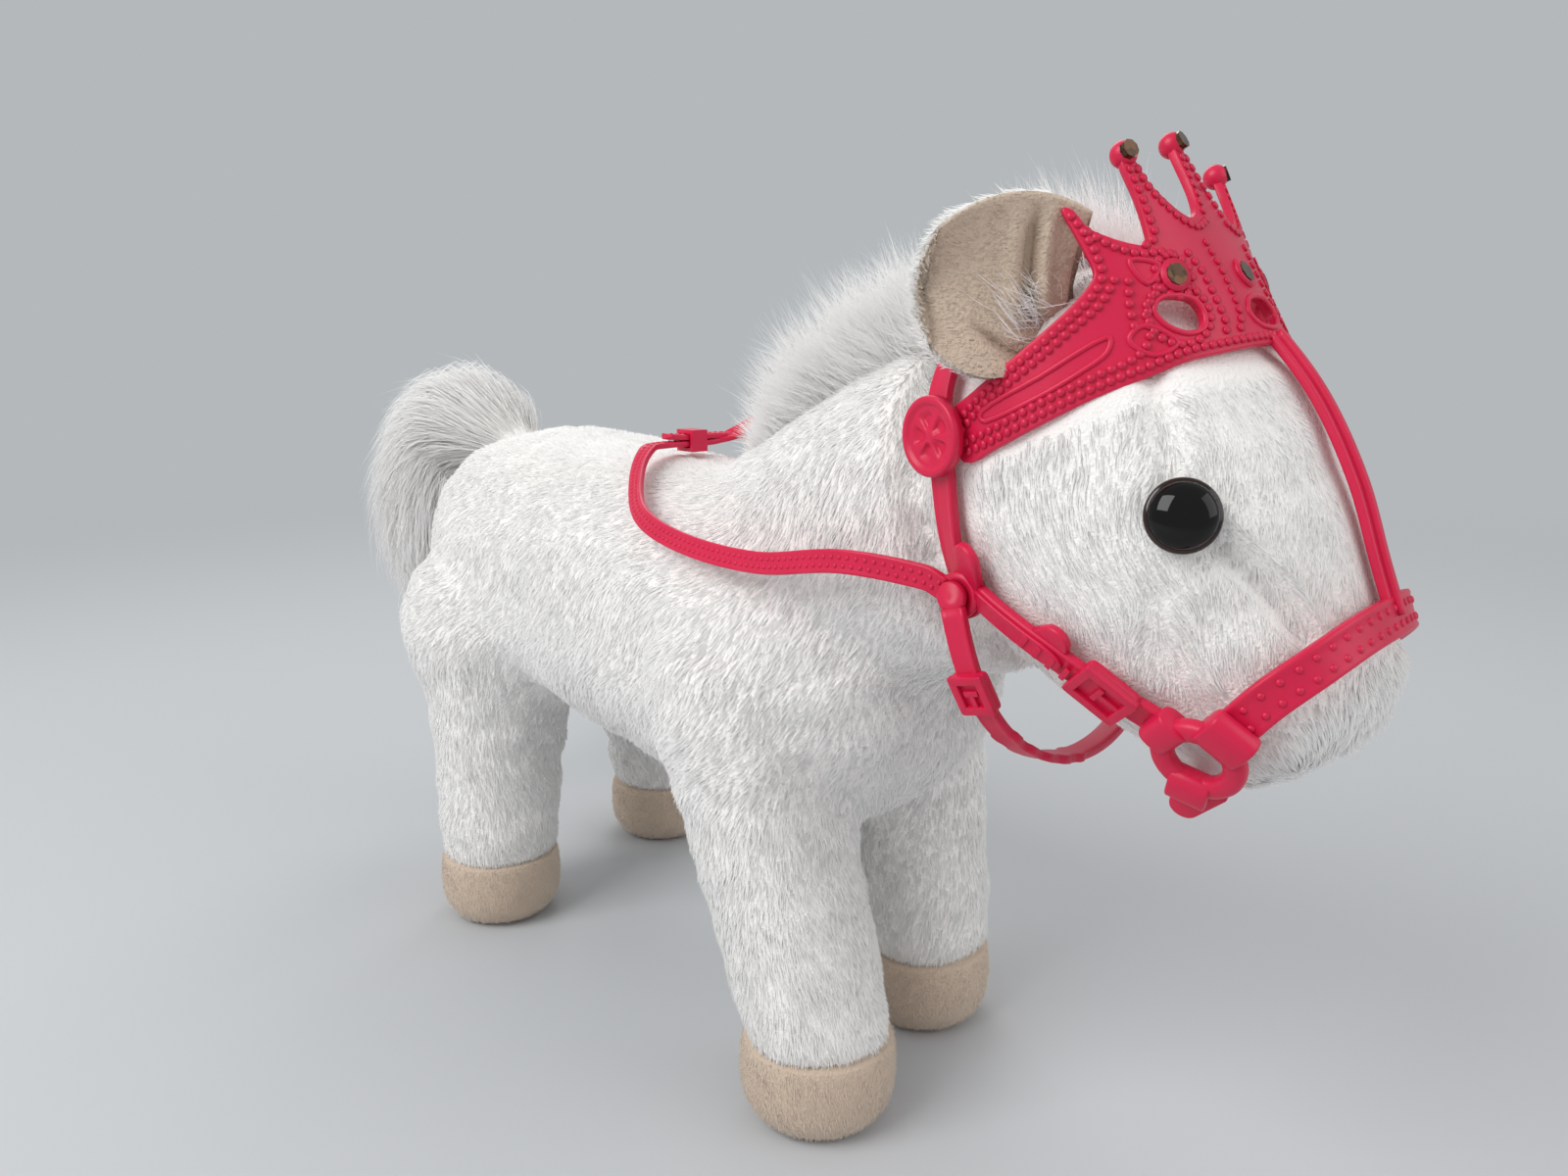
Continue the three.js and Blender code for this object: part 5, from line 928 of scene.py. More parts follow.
def strap_rings(points, normals, width, thickness, rim=0.3, sides=26):
    """A flat strap whose inner face is on the points: a rounded rectangle of power 5 in the directions across
    and out, its outer face raised by the rim near both edges."""
    along = unit(np.gradient(points, axis=0))
    across = unit(np.cross(normals, along))
    out = np.cross(along, across)
    c, s = oval(full_turn(sides) + 0.06, 5)
    edge = np.clip((np.abs(c) - 0.6) / 0.25, 0, 1)
    rise = thickness / 2 * (1 + s) + rim * (edge * edge * (3 - 2 * edge)) * (s > 0.5)
    half = np.broadcast_to(np.asarray(width, float), (len(points),))[:, None, None] / 2
    return points[:, None] + across[:, None] * (half * c[None, :, None]) + out[:, None] * rise[None, :, None]


def dots_on(points, normals, offsets, pitch, radius, height, staggered=True):
    """Raised dots in rows beside the line, each a small dome pressed flat, every pitch millimetres."""
    length = lengths_along(points)
    shapes = []
    for row, offset in enumerate(offsets):
        start = pitch * (0.75 + (0.5 if staggered and row % 2 else 0))
        places = np.arange(start, length[-1] - pitch * 0.6, pitch)
        normal = unit(at_lengths(normals, length, places))
        along = unit(at_lengths(np.gradient(points, axis=0), length, places))
        across = unit(np.cross(normal, along))
        out = np.cross(along, across)
        at = at_lengths(points, length, places) + across * offset + out * height
        shapes.append(stamped(dome(), at, across * radius, -along * radius, out * radius * 0.62))
    return together(shapes)


def along_head(line, lift=STRAP_LIFT):
    """Places and normals along a line of the straight head."""
    return head_point(line[:, 0], line[:, 1], lift), head_normal(line[:, 0], line[:, 1])


def head_strap(line, width, rim=0.3, raised=0.0):
    """A strap along a line of the head, its inner face lifted off the plush and its outer face raised."""
    points, normals = along_head(line)
    return looking_shape(closed_tube(strap_rings(points, normals, width, STRAP_THICKNESS + raised, rim)))


# Build: the plush
skin = plush_skin()

strap_lines = np.concatenate([HEADSTALL, CHEEK, CHEEK * [1, -1], NOSE, CHIN, FACE])
head_strap_points = looking(head_point(strap_lines[:, 0], strap_lines[:, 1]))
eye_points = looking(head_point(EYE_S, [EYE_ANGLE, -EYE_ANGLE]))
rosette_points = looking(head_point(ROSETTE_S, [ROSETTE_ANGLE, -ROSETTE_ANGLE]))
rein_points = np.concatenate([REINS["right"][::2, :3], REINS["left"][::2, :3]])


def mouth_kept(places):
    """One for places outside the belly's opening and nought for those on its walls."""
    low, high = MOUTH
    inside = np.all((places[:, :2] > low[:2] - 0.7) & (places[:, :2] < high[:2] + 0.7), axis=1)
    return np.where(inside & (places[:, 2] < high[2] + 0.7), 0.0, 1.0)


def tiara_shadow(places):
    """The share of pile length that is left under the tiara's band, from the place in its own cylinder."""
    straight = looking_back(places) - TIARA_CENTRE
    up, ahead = straight @ TIARA_UP, straight @ TIARA_AHEAD
    radius = np.hypot(ahead, straight[:, 1])
    azimuth = np.degrees(np.abs(np.arctan2(straight[:, 1], ahead)))
    under = (up > -5) & (up < 20) & (azimuth < 99) & (radius < TIARA_INNER + 3)
    return np.where(under, 0.35, 1.0)


# The pile's hairs to a square millimetre, their width, and their length on body, face and muzzle
PILE_DENSITY, PILE_WIDTH = 1.5, 0.52
BODY_PILE, FACE_PILE, MUZZLE_PILE = 3.7, 3.2, 4.4


def short_pile():
    """Short hairs all over the skin, laid along the nap, parted at the seams, longer on the muzzle and
    shorter beside the straps and round the eyes."""
    random = np.random.default_rng(20)
    places, normals = sampled(skin.data, PILE_DENSITY, 21, mouth_kept)
    flow = flow_field(places)
    length = BODY_PILE + 0.4 * wobble(places, 24, 22) + random.normal(scale=0.3, size=len(places))
    on_head = (places[:, 0] > 122) & (places[:, 2] > 110)
    beyond_band = (looking_back(places) - HEAD_BACK) @ HEAD_ALONG > 95
    length = np.where(on_head, np.where(beyond_band, MUZZLE_PILE, FACE_PILE), length)
    near = distance_to(places, head_strap_points)
    near = np.minimum(near, distance_to(places, rein_points))
    length *= np.clip((near - 2.6) / 4.0, 0.4, 1)
    length *= np.clip((distance_to(places, eye_points) - 5) / 4, 0.5, 1)
    length *= np.clip((distance_to(places, rosette_points) - 7.5) / 4, 0.4, 1)
    length *= tiara_shadow(places)
    for line, depth, width in seams():
        way = way_from(places, line)
        gap = np.linalg.norm(way, axis=1)
        flow += (0.9 * depth * np.exp(-((gap / (width + 1.5)) ** 2)) / np.maximum(gap, 0.3))[:, None] * way
        length *= 1 - 0.16 * depth * np.exp(-((gap / (0.6 * width)) ** 2))
    directions = combed(places, normals, flow, np.where(on_head, 1.32, 1.28), random, 0.04)
    lines = clumped(straight_hairs(places, normals, directions, length, 0.3), 2.2, 0.09, 30)
    made = hairs("plush_pile", lines, PILE_WIDTH, normals, None, PLUSH, seed=23, ends=(0.2, 1.0))
    for hair in made:
        blend_neck(hair)


def blend_neck(obj):
    """Puts a soft piece's placement into its mesh and leaves the piece at the model's frame."""
    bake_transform(obj)


short_pile()
blend_neck(skin)


# Hooves
def hoof(leg):
    """The hoof's profile turned about the foot, drawn in for the velboa's pile, and that short pile."""
    foot = np.array([*LEGS[leg][0], 0.0])
    profile = smooth_line(HOOF[1:-1], 26)
    profile = np.concatenate([[[0, 0]], profile - [0.7, 0], [[0, HOOF_TOP]]])
    profile[:, 1] = np.clip(profile[:, 1], 0, HOOF_TOP)
    points, faces = lathe(profile, 56)
    made = piece(f"hoof_velboa_{leg}", (points + foot, faces), "horse", VELBOA_BACKING, (f"hoof_{leg}",))
    random = np.random.default_rng(40 + sorted(LEGS).index(leg))
    places, normals = sampled(made.data, 2.2, 50, lambda p: (p[:, 2] > 0.6) & (p[:, 2] < 23.5))
    down = np.tile([0.0, 0, -1.0], (len(places), 1))
    directions = combed(places, normals, down, 1.08, random, 0.1)
    lines = straight_hairs(places, normals, directions, random.uniform(1.3, 2.1, len(places)), 0.3)
    lines[..., 2] = np.maximum(lines[..., 2], 0.15)
    hairs(f"hoof_pile_{leg}", lines, 0.36, normals, "horse", VELBOA, seed=60, ends=(0.3, 0.9))


for leg_name in LEGS:
    hoof(leg_name)


def bowed(roots, first, second, lengths, steps):
    """Hairs that start along the first direction and bend smoothly into the second over their length."""
    share = np.linspace(0, 1, steps)[None, :, None]
    path = first[:, None] * (share - share**2 * 0.5) + second[:, None] * share**2 * 0.62
    return roots[:, None] + lengths[:, None, None] * path


# Ears
EAR_ALONG = unit(np.array([-0.72, -0.69, 0.03]))
EAR_FACING = unit(np.array([0.69, -0.72, 0.02]))
EAR_ACROSS = np.cross(EAR_ALONG, EAR_FACING)


def ear_point(a, b, offset, inset):
    """A leaf: a runs from root to tip and b from edge to edge. Its width is a sine of a to the 0.45 power,
    drawn in by half at the lower side of the root, where it also lies back, behind the tiara. It cups forward
    with the square of b, and the offset is along the way it faces."""
    width = (EAR_HALF_WIDTH - inset) * np.sin(np.pi * (0.24 + 0.66 * a)) ** 0.45
    width = width * (1 - 0.56 * (1 - a) ** 2 * np.clip(-b * 2, 0, 1))
    cup = EAR_CUP * (b * b * (0.35 + a * 0.4) - 0.5 * (1 - a) ** 2)
    back = 6.5 * np.clip(1 - 1.4 * a, 0, 1) ** 1.5 * np.clip(-b, 0, 1)
    along = 2 + inset + a * (EAR_LENGTH - 2 * inset) - 3 * b * b
    point = EAR_ROOT + along[..., None] * EAR_ALONG + (b * width)[..., None] * EAR_ACROSS
    return point + (cup + offset - back)[..., None] * EAR_FACING


def ear_sheet(front, back, inset, fold=0.0, rows=30, columns=26):
    """A closed padded leaf between two offsets, which meet in a rounded edge: one minus b to the fourth,
    times one minus 2a - 1 to the eighth, to the power of 0.35. It is pinched across near its root and at its
    lower corner by bell curves."""
    a = np.linspace(0, 1, rows)[:, None]
    b = np.linspace(-1, 1, columns)[None]
    plump = ((1 - b**4) * np.clip(1 - (2 * a - 1) ** 8, 0, 1)) ** 0.35
    window = np.clip((b + 0.45) / 0.4, 0, 1) * np.clip((0.9 - b) / 0.3, 0, 1)
    pinch = np.exp(-((a - 0.27 - 0.09 * b) ** 2) / 0.0016)
    pinch = pinch - 0.42 * np.exp(-((a - 0.17 - 0.09 * b) ** 2) / 0.003)
    pinch = pinch - 0.3 * np.exp(-((a - 0.38 - 0.09 * b) ** 2) / 0.004)
    corner = np.exp(-((a - 0.4 - 0.55 * (b + 0.8)) ** 2) / 0.003) * np.clip((-0.3 - b) / 0.3, 0, 1)
    crease = fold * (pinch * window + 0.7 * corner)
    middle = (front + back) / 2
    top = ear_point(a + 0 * b, b + 0 * a, middle + (front - middle) * plump - crease * plump, inset)
    below = ear_point(a + 0 * b, b + 0 * a, middle + (back - middle) * plump, inset)
    return closed_tube(np.concatenate([top, below[:, ::-1]], 1))


def ear_side(points, left):
    """The left ear mirrors the right one, and both turn with the head."""
    return looking(np.asarray(points) * ([1, -1, 1] if left else [1, 1, 1]))


def ear_way(direction, left):
    """A direction of the right ear as it is on that ear or on its mirror image."""
    return ear_side(EAR_ROOT + direction, left) - ear_side(EAR_ROOT, left)


def ear_wisps(side, left, random):
    """Loose white hairs that come out of the ear's lower root and cross its lining."""
    count = 260
    a, b = random.uniform(0.02, 0.34, count), random.uniform(-0.85, -0.1, count)
    roots = ear_point(a, b, 0.6, 2.0)
    spread = random.normal(scale=0.3, size=(count, 3))
    first = unit(0.5 * EAR_ALONG + 0.5 * EAR_FACING + 0.45 * EAR_ACROSS + spread)
    second = unit(0.8 * EAR_ALONG + 0.05 * EAR_FACING + 0.5 * EAR_ACROSS + spread)
    lines = bowed(roots, first, second, random.uniform(7, 15, count), 5)
    lines = ear_side(clumped(lines, 4, 0.45, 77), left)
    facing = np.tile(ear_way(EAR_FACING, left), (count, 1))
    hairs(f"ear_wisps_{side}", lines, random.uniform(0.16, 0.28, count), facing, f"{side}_ear", LONG_FUR,
          seed=78, ends=(0.3, 1.0), cut=0.9)


def ear(side):
    """One ear: a plush shell, a velboa lining in it, the pile of both and the wisps at the root."""
    left = side == "left"
    body = f"{side}_ear"
    shell = piece(f"ear_plush_{side}", looking_shape(SIDES[side](ear_sheet(-0.6, -2.6, 0.9))), body,
                  PLUSH_BACKING, (f"ear_{side}",))
    lining_shape = ear_sheet(1.9, -0.4, 1.3, 3.6, 70, 50)
    lining = piece(f"ear_velboa_{side}", looking_shape(SIDES[side](lining_shape)), body, VELBOA_BACKING,
                   (f"ear_lining_{side}",))
    tipward, facing = ear_way(EAR_ALONG, left), ear_way(EAR_FACING, left)
    random = np.random.default_rng(70 + left)
    places, normals = sampled(shell.data, 1.7, 71)
    keep = normals @ facing < 0.55
    places, normals = places[keep], normals[keep]
    directions = combed(places, normals, np.tile(tipward, (len(places), 1)), 0.95, random, 0.2)
    lines = straight_hairs(places, normals, directions, random.uniform(2.2, 3.6, len(places)), 0)
    hairs(f"ear_pile_{side}", clumped(lines, 3, 0.3, 72), 0.5, normals, body, PLUSH, seed=73, ends=(0.2, 1.0))
    places, normals = sampled(lining.data, 1.6, 74)
    keep = normals @ facing > 0.2
    places, normals = places[keep], normals[keep]
    directions = combed(places, normals, np.tile(tipward, (len(places), 1)), 1.2, random, 0.07)
    lines = straight_hairs(places, normals, directions, random.uniform(1.0, 1.7, len(places)), 0.2)
    hairs(f"ear_lining_pile_{side}", lines, 0.42, normals, body, VELBOA, seed=75, ends=(0.35, 1.0))
    ear_wisps(side, left, random)


for side_name in SIDES:
    ear(side_name)


# Mane, forelock and tail
def tuft(rows, count, seed, first, second, length_scale, fall, steps=4):
    """Long hairs rooted across a ridge: each stands up, leans by its distance from the middle, bends over and
    curls a little. Gives the hairs and the way out of the ridge at each."""
    random = np.random.default_rng(seed)
    t = np.sort(random.uniform(rows[0, 0], rows[-1, 0], count))
    z, tall, half = between(rows, t).T
    across = random.uniform(-1, 1, count)
    roots = np.stack([t, across * half * 0.95, z - 6 - 3.0 * across**2], -1)
    up = np.asarray(first, float) + np.stack([0 * t, across * 0.75, 0 * t], -1)
    over = np.asarray(second, float) + np.stack([0 * t, across * fall, -0.5 * np.abs(across)], -1)
    up += random.normal(scale=0.2, size=(count, 3))
    over += random.normal(scale=0.42, size=(count, 3))
    lengths = (tall + 6) * length_scale * random.uniform(0.5, 1.12, count) * (1 - 0.4 * np.abs(across) ** 3)
    lines = bowed(roots, unit(up), unit(over), lengths, steps)
    curl = np.linspace(0, 1, steps)[None, :] ** 1.4
    for axis in range(3):
        slow, quick = wobble(roots, 13, seed + axis + 1), wobble(roots, 4, seed + axis + 5)
        lines[..., axis] += curl * (2.2 * slow + 1.3 * quick)[:, None]
    lines = clumped(clumped(lines, 6, 0.3, seed + 3), 2.2, 0.15, seed + 4)
    return lines, np.stack([0 * t, across, 0.5 + 0 * t], -1)


# The mane's hairs start clear of the reins' keeper: x, crest z, height, half width
MANE_HAIR = np.array([
    [26, 172, 3, 3], [37, 177, 9, 6], [48, 183, 18, 10], [62, 190, 27, 12], [80, 198, 31, 13],
    [96, 204, 30, 12], [110, 209, 27, 10], [121, 213, 18, 8],
])
MANE_COUNT, FORELOCK_COUNT, TAIL_COUNT = 15000, 5200, 17000
mane_lines, mane_facing = tuft(MANE_HAIR, MANE_COUNT, 80, [-0.12, 0.0, 1.0], [-0.34, 0.0, 0.9], 1.04, 0.8)
mane_widths = np.random.default_rng(81).uniform(0.16, 0.34, len(mane_lines))
mane = hairs("mane_fur", mane_lines, mane_widths, mane_facing, None, LONG_FUR, ("mane",), seed=82,
             ends=(0.25, 1.0), cut=0.9)
for hair_piece in mane:
    blend_neck(hair_piece)

forelock_lines, forelock_facing = tuft(
    FORELOCK, FORELOCK_COUNT, 90, [-0.05, 0.0, 1.0], [-0.3, 0.0, 0.9], 1.28, 0.8,
)
forelock_widths = np.random.default_rng(91).uniform(0.16, 0.34, len(forelock_lines))
hairs("forelock_fur", looking(forelock_lines), forelock_widths, forelock_facing, "head_assembly", LONG_FUR,
      ("forelock",), seed=92, ends=(0.25, 1.0), cut=0.9)


def tail_place(t, angle, share):
    """Inside the tail's fur: the line's point at t of its length, plus the oval's height and width times the
    share. Past the end it goes straight on."""
    rows = smooth_line(TAIL_FUR, 120)
    slopes = unit(np.gradient(rows[:, :2], axis=0))
    at = np.clip(t, 0, 1) * 119
    x, z, tall, half, y = (np.interp(at, np.arange(120), rows[:, k]) for k in range(5))
    slope_x, slope_z = (np.interp(at, np.arange(120), slopes[:, k]) for k in range(2))
    up, out = np.cos(angle) * tall * share, np.sin(angle) * half * share
    past = np.maximum(t - 1, 0) * 130
    return np.stack([x - slope_z * up + slope_x * past, y + out, z + slope_x * up + slope_z * past], -1)


def tail_plume():
    """The tail's padded core and the long hairs along it, rooted inside and opening towards their tips."""
    turn = full_turn(36)[None]
    core = closed_tube(tail_place(np.linspace(0, 1, 60)[:, None] + 0 * turn, turn, 0.74))
    made = piece("tail_core", core, "tail_plume", PLUSH_BACKING, ("tail",))
    random = np.random.default_rng(100)
    count, steps = TAIL_COUNT, 4
    start = random.uniform(0, 0.94, count)
    angle = random.uniform(0, 2 * np.pi, count)
    reach = random.uniform(0.16, 0.36, count)
    loose = random.uniform(size=count) < 0.4
    grow = np.where(loose, random.uniform(1.05, 1.5, count), random.uniform(0.9, 1.15, count))
    twist = random.normal(scale=0.22, size=count)
    share = np.linspace(0, 1, steps)
    t = start[:, None] + reach[:, None] * share
    open_up = 0.7 + (grow[:, None] - 0.7) * share**0.8
    lines = tail_place(t, angle[:, None] + twist[:, None] * share, open_up)
    facing = unit(lines[:, 0] - tail_place(start, angle, 0.01))
    lines = clumped(clumped(lines, 8, 0.25, 101), 2.4, 0.2, 102)
    roots = lines[:, 0]
    waves = [1.7 * wobble(roots, 20, 103 + k) + 1.1 * wobble(roots, 4, 113 + k) for k in range(3)]
    lines += share[None, :, None] * np.stack(waves, -1)[:, None]
    hairs("tail_fur", lines, random.uniform(0.2, 0.4, count), facing, "tail_plume", LONG_FUR, seed=104,
          ends=(0.3, 1.0), cut=0.9)
    return made


tail_plume()


# Bridle
def pvc_piece(name, shape, node_name, body="head_assembly"):
    """A piece of soft pink PVC in the place of one node."""
    piece(name, shape, body, PINK_PVC, (node_name,))


pvc_piece("headstall_strap", head_strap(HEADSTALL, STRAP_WIDTH), "headstall")
face_ridge = head_strap(FACE, 2.2, 0, 1.1)
pvc_piece("face_band", together([head_strap(FACE, STRAP_WIDTH, 0.1), face_ridge]), "face_strap")


def ring_sleeve(turn, width, reach=3.6):
    """The end loop of a strap, folded round the ring at a turn from the muzzle's side: an oval of power 2.8
    carried across the strap's width, a little smaller at both ends."""
    u, w = oval(full_turn(30), 2.8)
    stations = np.array([[-0.5, 0.88], [-0.47, 0.98], [-0.43, 1], [0.43, 1], [0.47, 0.98], [0.5, 0.88]])
    place, scale = stations.T[..., None]
    x, y = RING_RADIUS - 2.65 + reach + reach * scale * u, width * place + 0 * u
    return closed_tube(spun(np.stack([x, y, 2.8 * scale * w], -1), turn))


def plate(length, width, height, at=(0, 0, 0), power=9, rows=12, columns=32):
    """A flat moulded block with soft edges, its middle at the place."""
    points, faces = pebble([length / 2, width / 2, height / 2], power, rows, columns)
    return points + np.asarray(at, float), faces


def buckle(length, width):
    """A raised rectangular frame on a base, with the bar of its tongue and the cross piece at its tip."""
    x, y = length / 2 - 1.0, width / 2 - 1.0
    return together([
        plate(length, width, 2.2, (0, 0, 1.6)),
        plate(2.0, width, 1.6, (x, 0, 3.0)),
        plate(2.0, width, 1.6, (-x, 0, 3.0)),
        plate(length, 2.0, 1.6, (0, y, 3.0)),
        plate(length, 2.0, 1.6, (0, -y, 3.0)),
        plate(length * 0.52, 1.3, 1.3, (length * 0.2, 0, 2.9)),
        plate(1.3, width * 0.42, 1.3, (-length * 0.05, 0, 2.9)),
    ])


def tab(length, width, height):
    """A flat strap end whose far side is a half circle: it starts at the origin and lies along X."""
    turn = np.linspace(-np.pi / 2, np.pi / 2, 17)
    far = np.stack([length - width / 2 + width / 2 * np.cos(turn), width / 2 * np.sin(turn)], -1)
    edge = np.concatenate([[[0, -width / 2]], far, [[0, width / 2]]])
    middle = edge.mean(0)
    rings = []
    for share, scale in ((0, 0.95), (0.15, 1), (0.75, 1), (0.97, 0.93), (1, 0.84)):
        rings.append(np.column_stack([middle + (edge - middle) * scale, np.full(len(edge), share * height)]))
    return closed_tube(np.array(rings))


def both_sides(shape):
    """The right-hand shape of the straight head and its mirror image."""
    return shape, mirrored(shape)


def straight_on_head(shape, s, angle, lift, spin=0.0):
    """A shape put on the straight head, turned by the spin in degrees about the way out."""
    place, axes = head_frame(s, angle, lift)
    return place + spun(shape[0], spin) @ axes, shape[1]


def bar_y(radius, y0, y1, x, z, sides=28, soft=0.3):
    """A round bar across the horse between two distances, its rims rounded."""
    low, high = min(y0, y1), max(y0, y1)
    reach = high - low
    rim = [[radius - soft, 0], [radius, soft], [radius, reach - soft], [radius - soft, reach]]
    profile = [[0, 0], *rim, [0, reach]]
    points, faces = lathe(profile, sides)
    turned = np.stack([points[:, 0] + x, points[:, 2] + low, -points[:, 1] + z], -1)
    return outwards(turned, faces)


def cheek_shape():
    """The right cheek strap on the straight head: its buckle, ring sleeve, tabs, ridges, bosses and the
    tapered layer on top."""
    points, normals = along_head(CHEEK)
    shapes = [closed_tube(strap_rings(points, normals, STRAP_WIDTH, STRAP_THICKNESS))]
    shapes.append(straight_on_head(buckle(12.5, 10.5), 72.5, 113.2, STRAP_LIFT, -5))
    shapes.append(straight_on_head(ring_sleeve(178, STRAP_WIDTH + 1), RING_S, RING_ANGLE, RING_LIFT))
    shapes.append(straight_on_head(tab(15, 7.2, 1.9), 42, 128, 0.6, 118))
    shapes.append(straight_on_head(tab(8.5, 7, 1.7), 58, 117, 0.5, 62))
    for number in range(4):
        place, angle = 56 + 3.2 * number, 117.6 - 0.55 * number
        ridge = plate(1.3, STRAP_WIDTH - 2.6, 0.7)
        shapes.append(straight_on_head(ridge, place, angle, STRAP_LIFT + STRAP_THICKNESS + 0.75))
    shapes.append(bar_y(5.4, -38.2, -36.2, JUNCTION[0], JUNCTION[2]))
    shapes.append(bar_y(2.6, -40.8, -37.7, JUNCTION[0], JUNCTION[2]))
    layer = CHEEK[: int(len(CHEEK) * 0.55)]
    on_top, normals = along_head(layer, STRAP_LIFT + STRAP_THICKNESS - 0.1)
    narrow = np.full(len(layer), STRAP_WIDTH - 1.6)
    narrow[-4:] *= [0.95, 0.85, 0.65, 0.3]
    shapes.append(closed_tube(strap_rings(on_top, normals, narrow, 0.9, 0.12)))
    return together(shapes)


def noseband_shape():
    """The noseband with two staggered rows of dots and a sleeve on each ring."""
    points, normals = along_head(NOSE)
    shapes = [closed_tube(strap_rings(points, normals, NOSEBAND_WIDTH, STRAP_THICKNESS)),
              dots_on(points, normals, [-1.7, 1.7], 3.6, 0.85, STRAP_THICKNESS - 0.05)]
    sleeve = ring_sleeve(90, NOSEBAND_WIDTH + 1.5, 4.4)
    shapes += both_sides(straight_on_head(sleeve, RING_S, RING_ANGLE, RING_LIFT))
    return together(shapes)


def chin_shape():
    """The chin strap with a sleeve on each ring, and its free end, which hangs below the right ring."""
    points, normals = along_head(CHIN)
    shapes = [closed_tube(strap_rings(points, normals, STRAP_WIDTH, STRAP_THICKNESS))]
    sleeve = ring_sleeve(294, STRAP_WIDTH + 1.5, 3.9)
    shapes += both_sides(straight_on_head(sleeve, RING_S, RING_ANGLE, RING_LIFT))
    points, faces = tab(12.5, 6.4, 2.0)
    hanging = spun(points, -94) + [7.4, -6.6, -3.6], faces
    shapes.append(straight_on_head(hanging, RING_S, RING_ANGLE, RING_LIFT))
    return together(shapes)


def rosette_shape():
    """A round boss with a rounded rim and a five-petal flower pressed into it: the depth is a cosine of five
    times the turn, cut off below nought and above one, and strongest half way out."""
    turn = full_turn(90)[None]
    rows = np.array([
        [8.4, 0], [8.4, 1.5], [8.3, 2.1], [7.9, 2.4], [7.3, 2.45], [6.9, 2.3], [6.5, 1.9], [6.2, 1.75],
        [5.8, 1.7], [5.2, 1.7], [4.6, 1.7], [4.0, 1.7], [3.4, 1.7], [2.8, 1.7], [2.2, 1.7], [1.7, 1.7],
        [1.2, 1.8], [0.7, 1.9], [0.2, 1.9],
    ])
    radius, height = rows[:, :1], rows[:, 1:]
    petal = np.clip(np.cos(5 * turn) * 1.6 + 0.9, 0, 1) * np.exp(-(((radius - 3.4) / 1.6) ** 6))
    z = height - 0.9 * petal
    return closed_tube(np.stack([radius * np.cos(turn), radius * np.sin(turn), z + 0 * turn], -1))


def bit_ring_shape():
    """A ring round its own axis: an oval of power 2.6, wider than it is thick, carried round a circle."""
    turn = full_turn(56)[:, None]
    out, up = oval(full_turn(18)[None], 2.6)
    reach = RING_RADIUS + 2.3 * out
    return closed_ring(np.stack([reach * np.cos(turn), reach * np.sin(turn), RING_WIRE * up + 0 * turn], -1))


ring_on_head = straight_on_head(bit_ring_shape(), RING_S, RING_ANGLE, RING_LIFT)
rosette_lift = STRAP_LIFT + STRAP_THICKNESS + 0.3
rosette_on_head = straight_on_head(rosette_shape(), ROSETTE_S, ROSETTE_ANGLE, rosette_lift, 18)
cheek_right = cheek_shape()
for side_name, turn_over in SIDES.items():
    for piece_name, on_head, node_name, body_name in (
        ("cheek_band", cheek_right, "cheek_strap", "head_assembly"),
        ("rosette_boss", rosette_on_head, "rosette", "head_assembly"),
        ("bit_ring_smooth", ring_on_head, "bit_ring", f"{side_name}_bit_ring"),
    ):
        made_shape = looking_shape(turn_over(on_head))
        pvc_piece(f"{piece_name}_{side_name}", made_shape, f"{node_name}_{side_name}", body_name)
pvc_piece("nose_band", looking_shape(noseband_shape()), "noseband")
pvc_piece("chin_band", looking_shape(chin_shape()), "chin_strap")


def throat_shape():
    """The throat strap with its round ends, snap pins, buckle and the notches on its outer edge."""
    points, normals = throat_line()
    width = np.full(len(points), 5.6)
    stepped = (np.arange(len(points)) // 3) % 2 == 0
    low_part = (np.arange(len(points)) > 22) & (np.arange(len(points)) < 50)
    width[low_part & stepped] = 7.0
    shapes = [closed_tube(strap_rings(points, normals, width, STRAP_THICKNESS))]
    along = unit(np.gradient(points, axis=0))
    across = unit(np.cross(normals, along))
    out = np.cross(along, across)
    frame_points, frame_faces = buckle(9.5, 9.0)
    axes = np.stack([along[12], across[12], out[12]])
    shapes += both_sides((points[12] + (frame_points - [0, 0, 0.3]) @ axes, frame_faces))
    cap = bar_y(3.4, -42.9, -41.1, JUNCTION[0], JUNCTION[2])
    pin = bar_y(1.3, -42.1, -38.1, JUNCTION[0], JUNCTION[2])
    shapes += both_sides(together([cap, pin]))
    return together(shapes)


pvc_piece("throat_band", looking_shape(throat_shape()), "throat_strap", "throat")


def rein_shape(side):
    """A rein with a raised rim and two rows of dots, and its ring on the junction's boss."""
    rows = REINS[side]
    points, normals = rows[:, :3], unit(rows[:, 3:])
    shapes = [closed_tube(strap_rings(points, normals, 5.5, 1.8, 0.22)),
              dots_on(points, normals, [-0.95, 0.95], 2.2, 0.62, 1.75)]
    turn = full_turn(40)[:, None]
    loop = np.array([[2.9, 0], [5.0, 0], [5.0, 1.8], [2.9, 1.8]])
    x, z = JUNCTION[0] + loop[:, 0] * np.cos(turn), JUNCTION[2] + loop[:, 0] * np.sin(turn)
    ring = closed_ring(np.stack([x, -(REIN_INNER + loop[:, 1]) + 0 * turn, z], -1))
    shapes.append(looking_shape(SIDES[side](ring)))
    return together(shapes)


for side_name in SIDES:
    pvc_piece(f"rein_band_{side_name}", rein_shape(side_name), f"rein_{side_name}", "reins")


# Tiara
def tiara_radius(azimuth, height):
    """The inner face's distance from the line: less above the front, where the peaks lean in, by a squared
    cosine."""
    middle = np.cos(np.radians(np.minimum(np.abs(azimuth), 50) * 1.8)) ** 2
    return TIARA_INNER - 7 * middle * np.maximum(height, 0) / PEAK_CENTRE


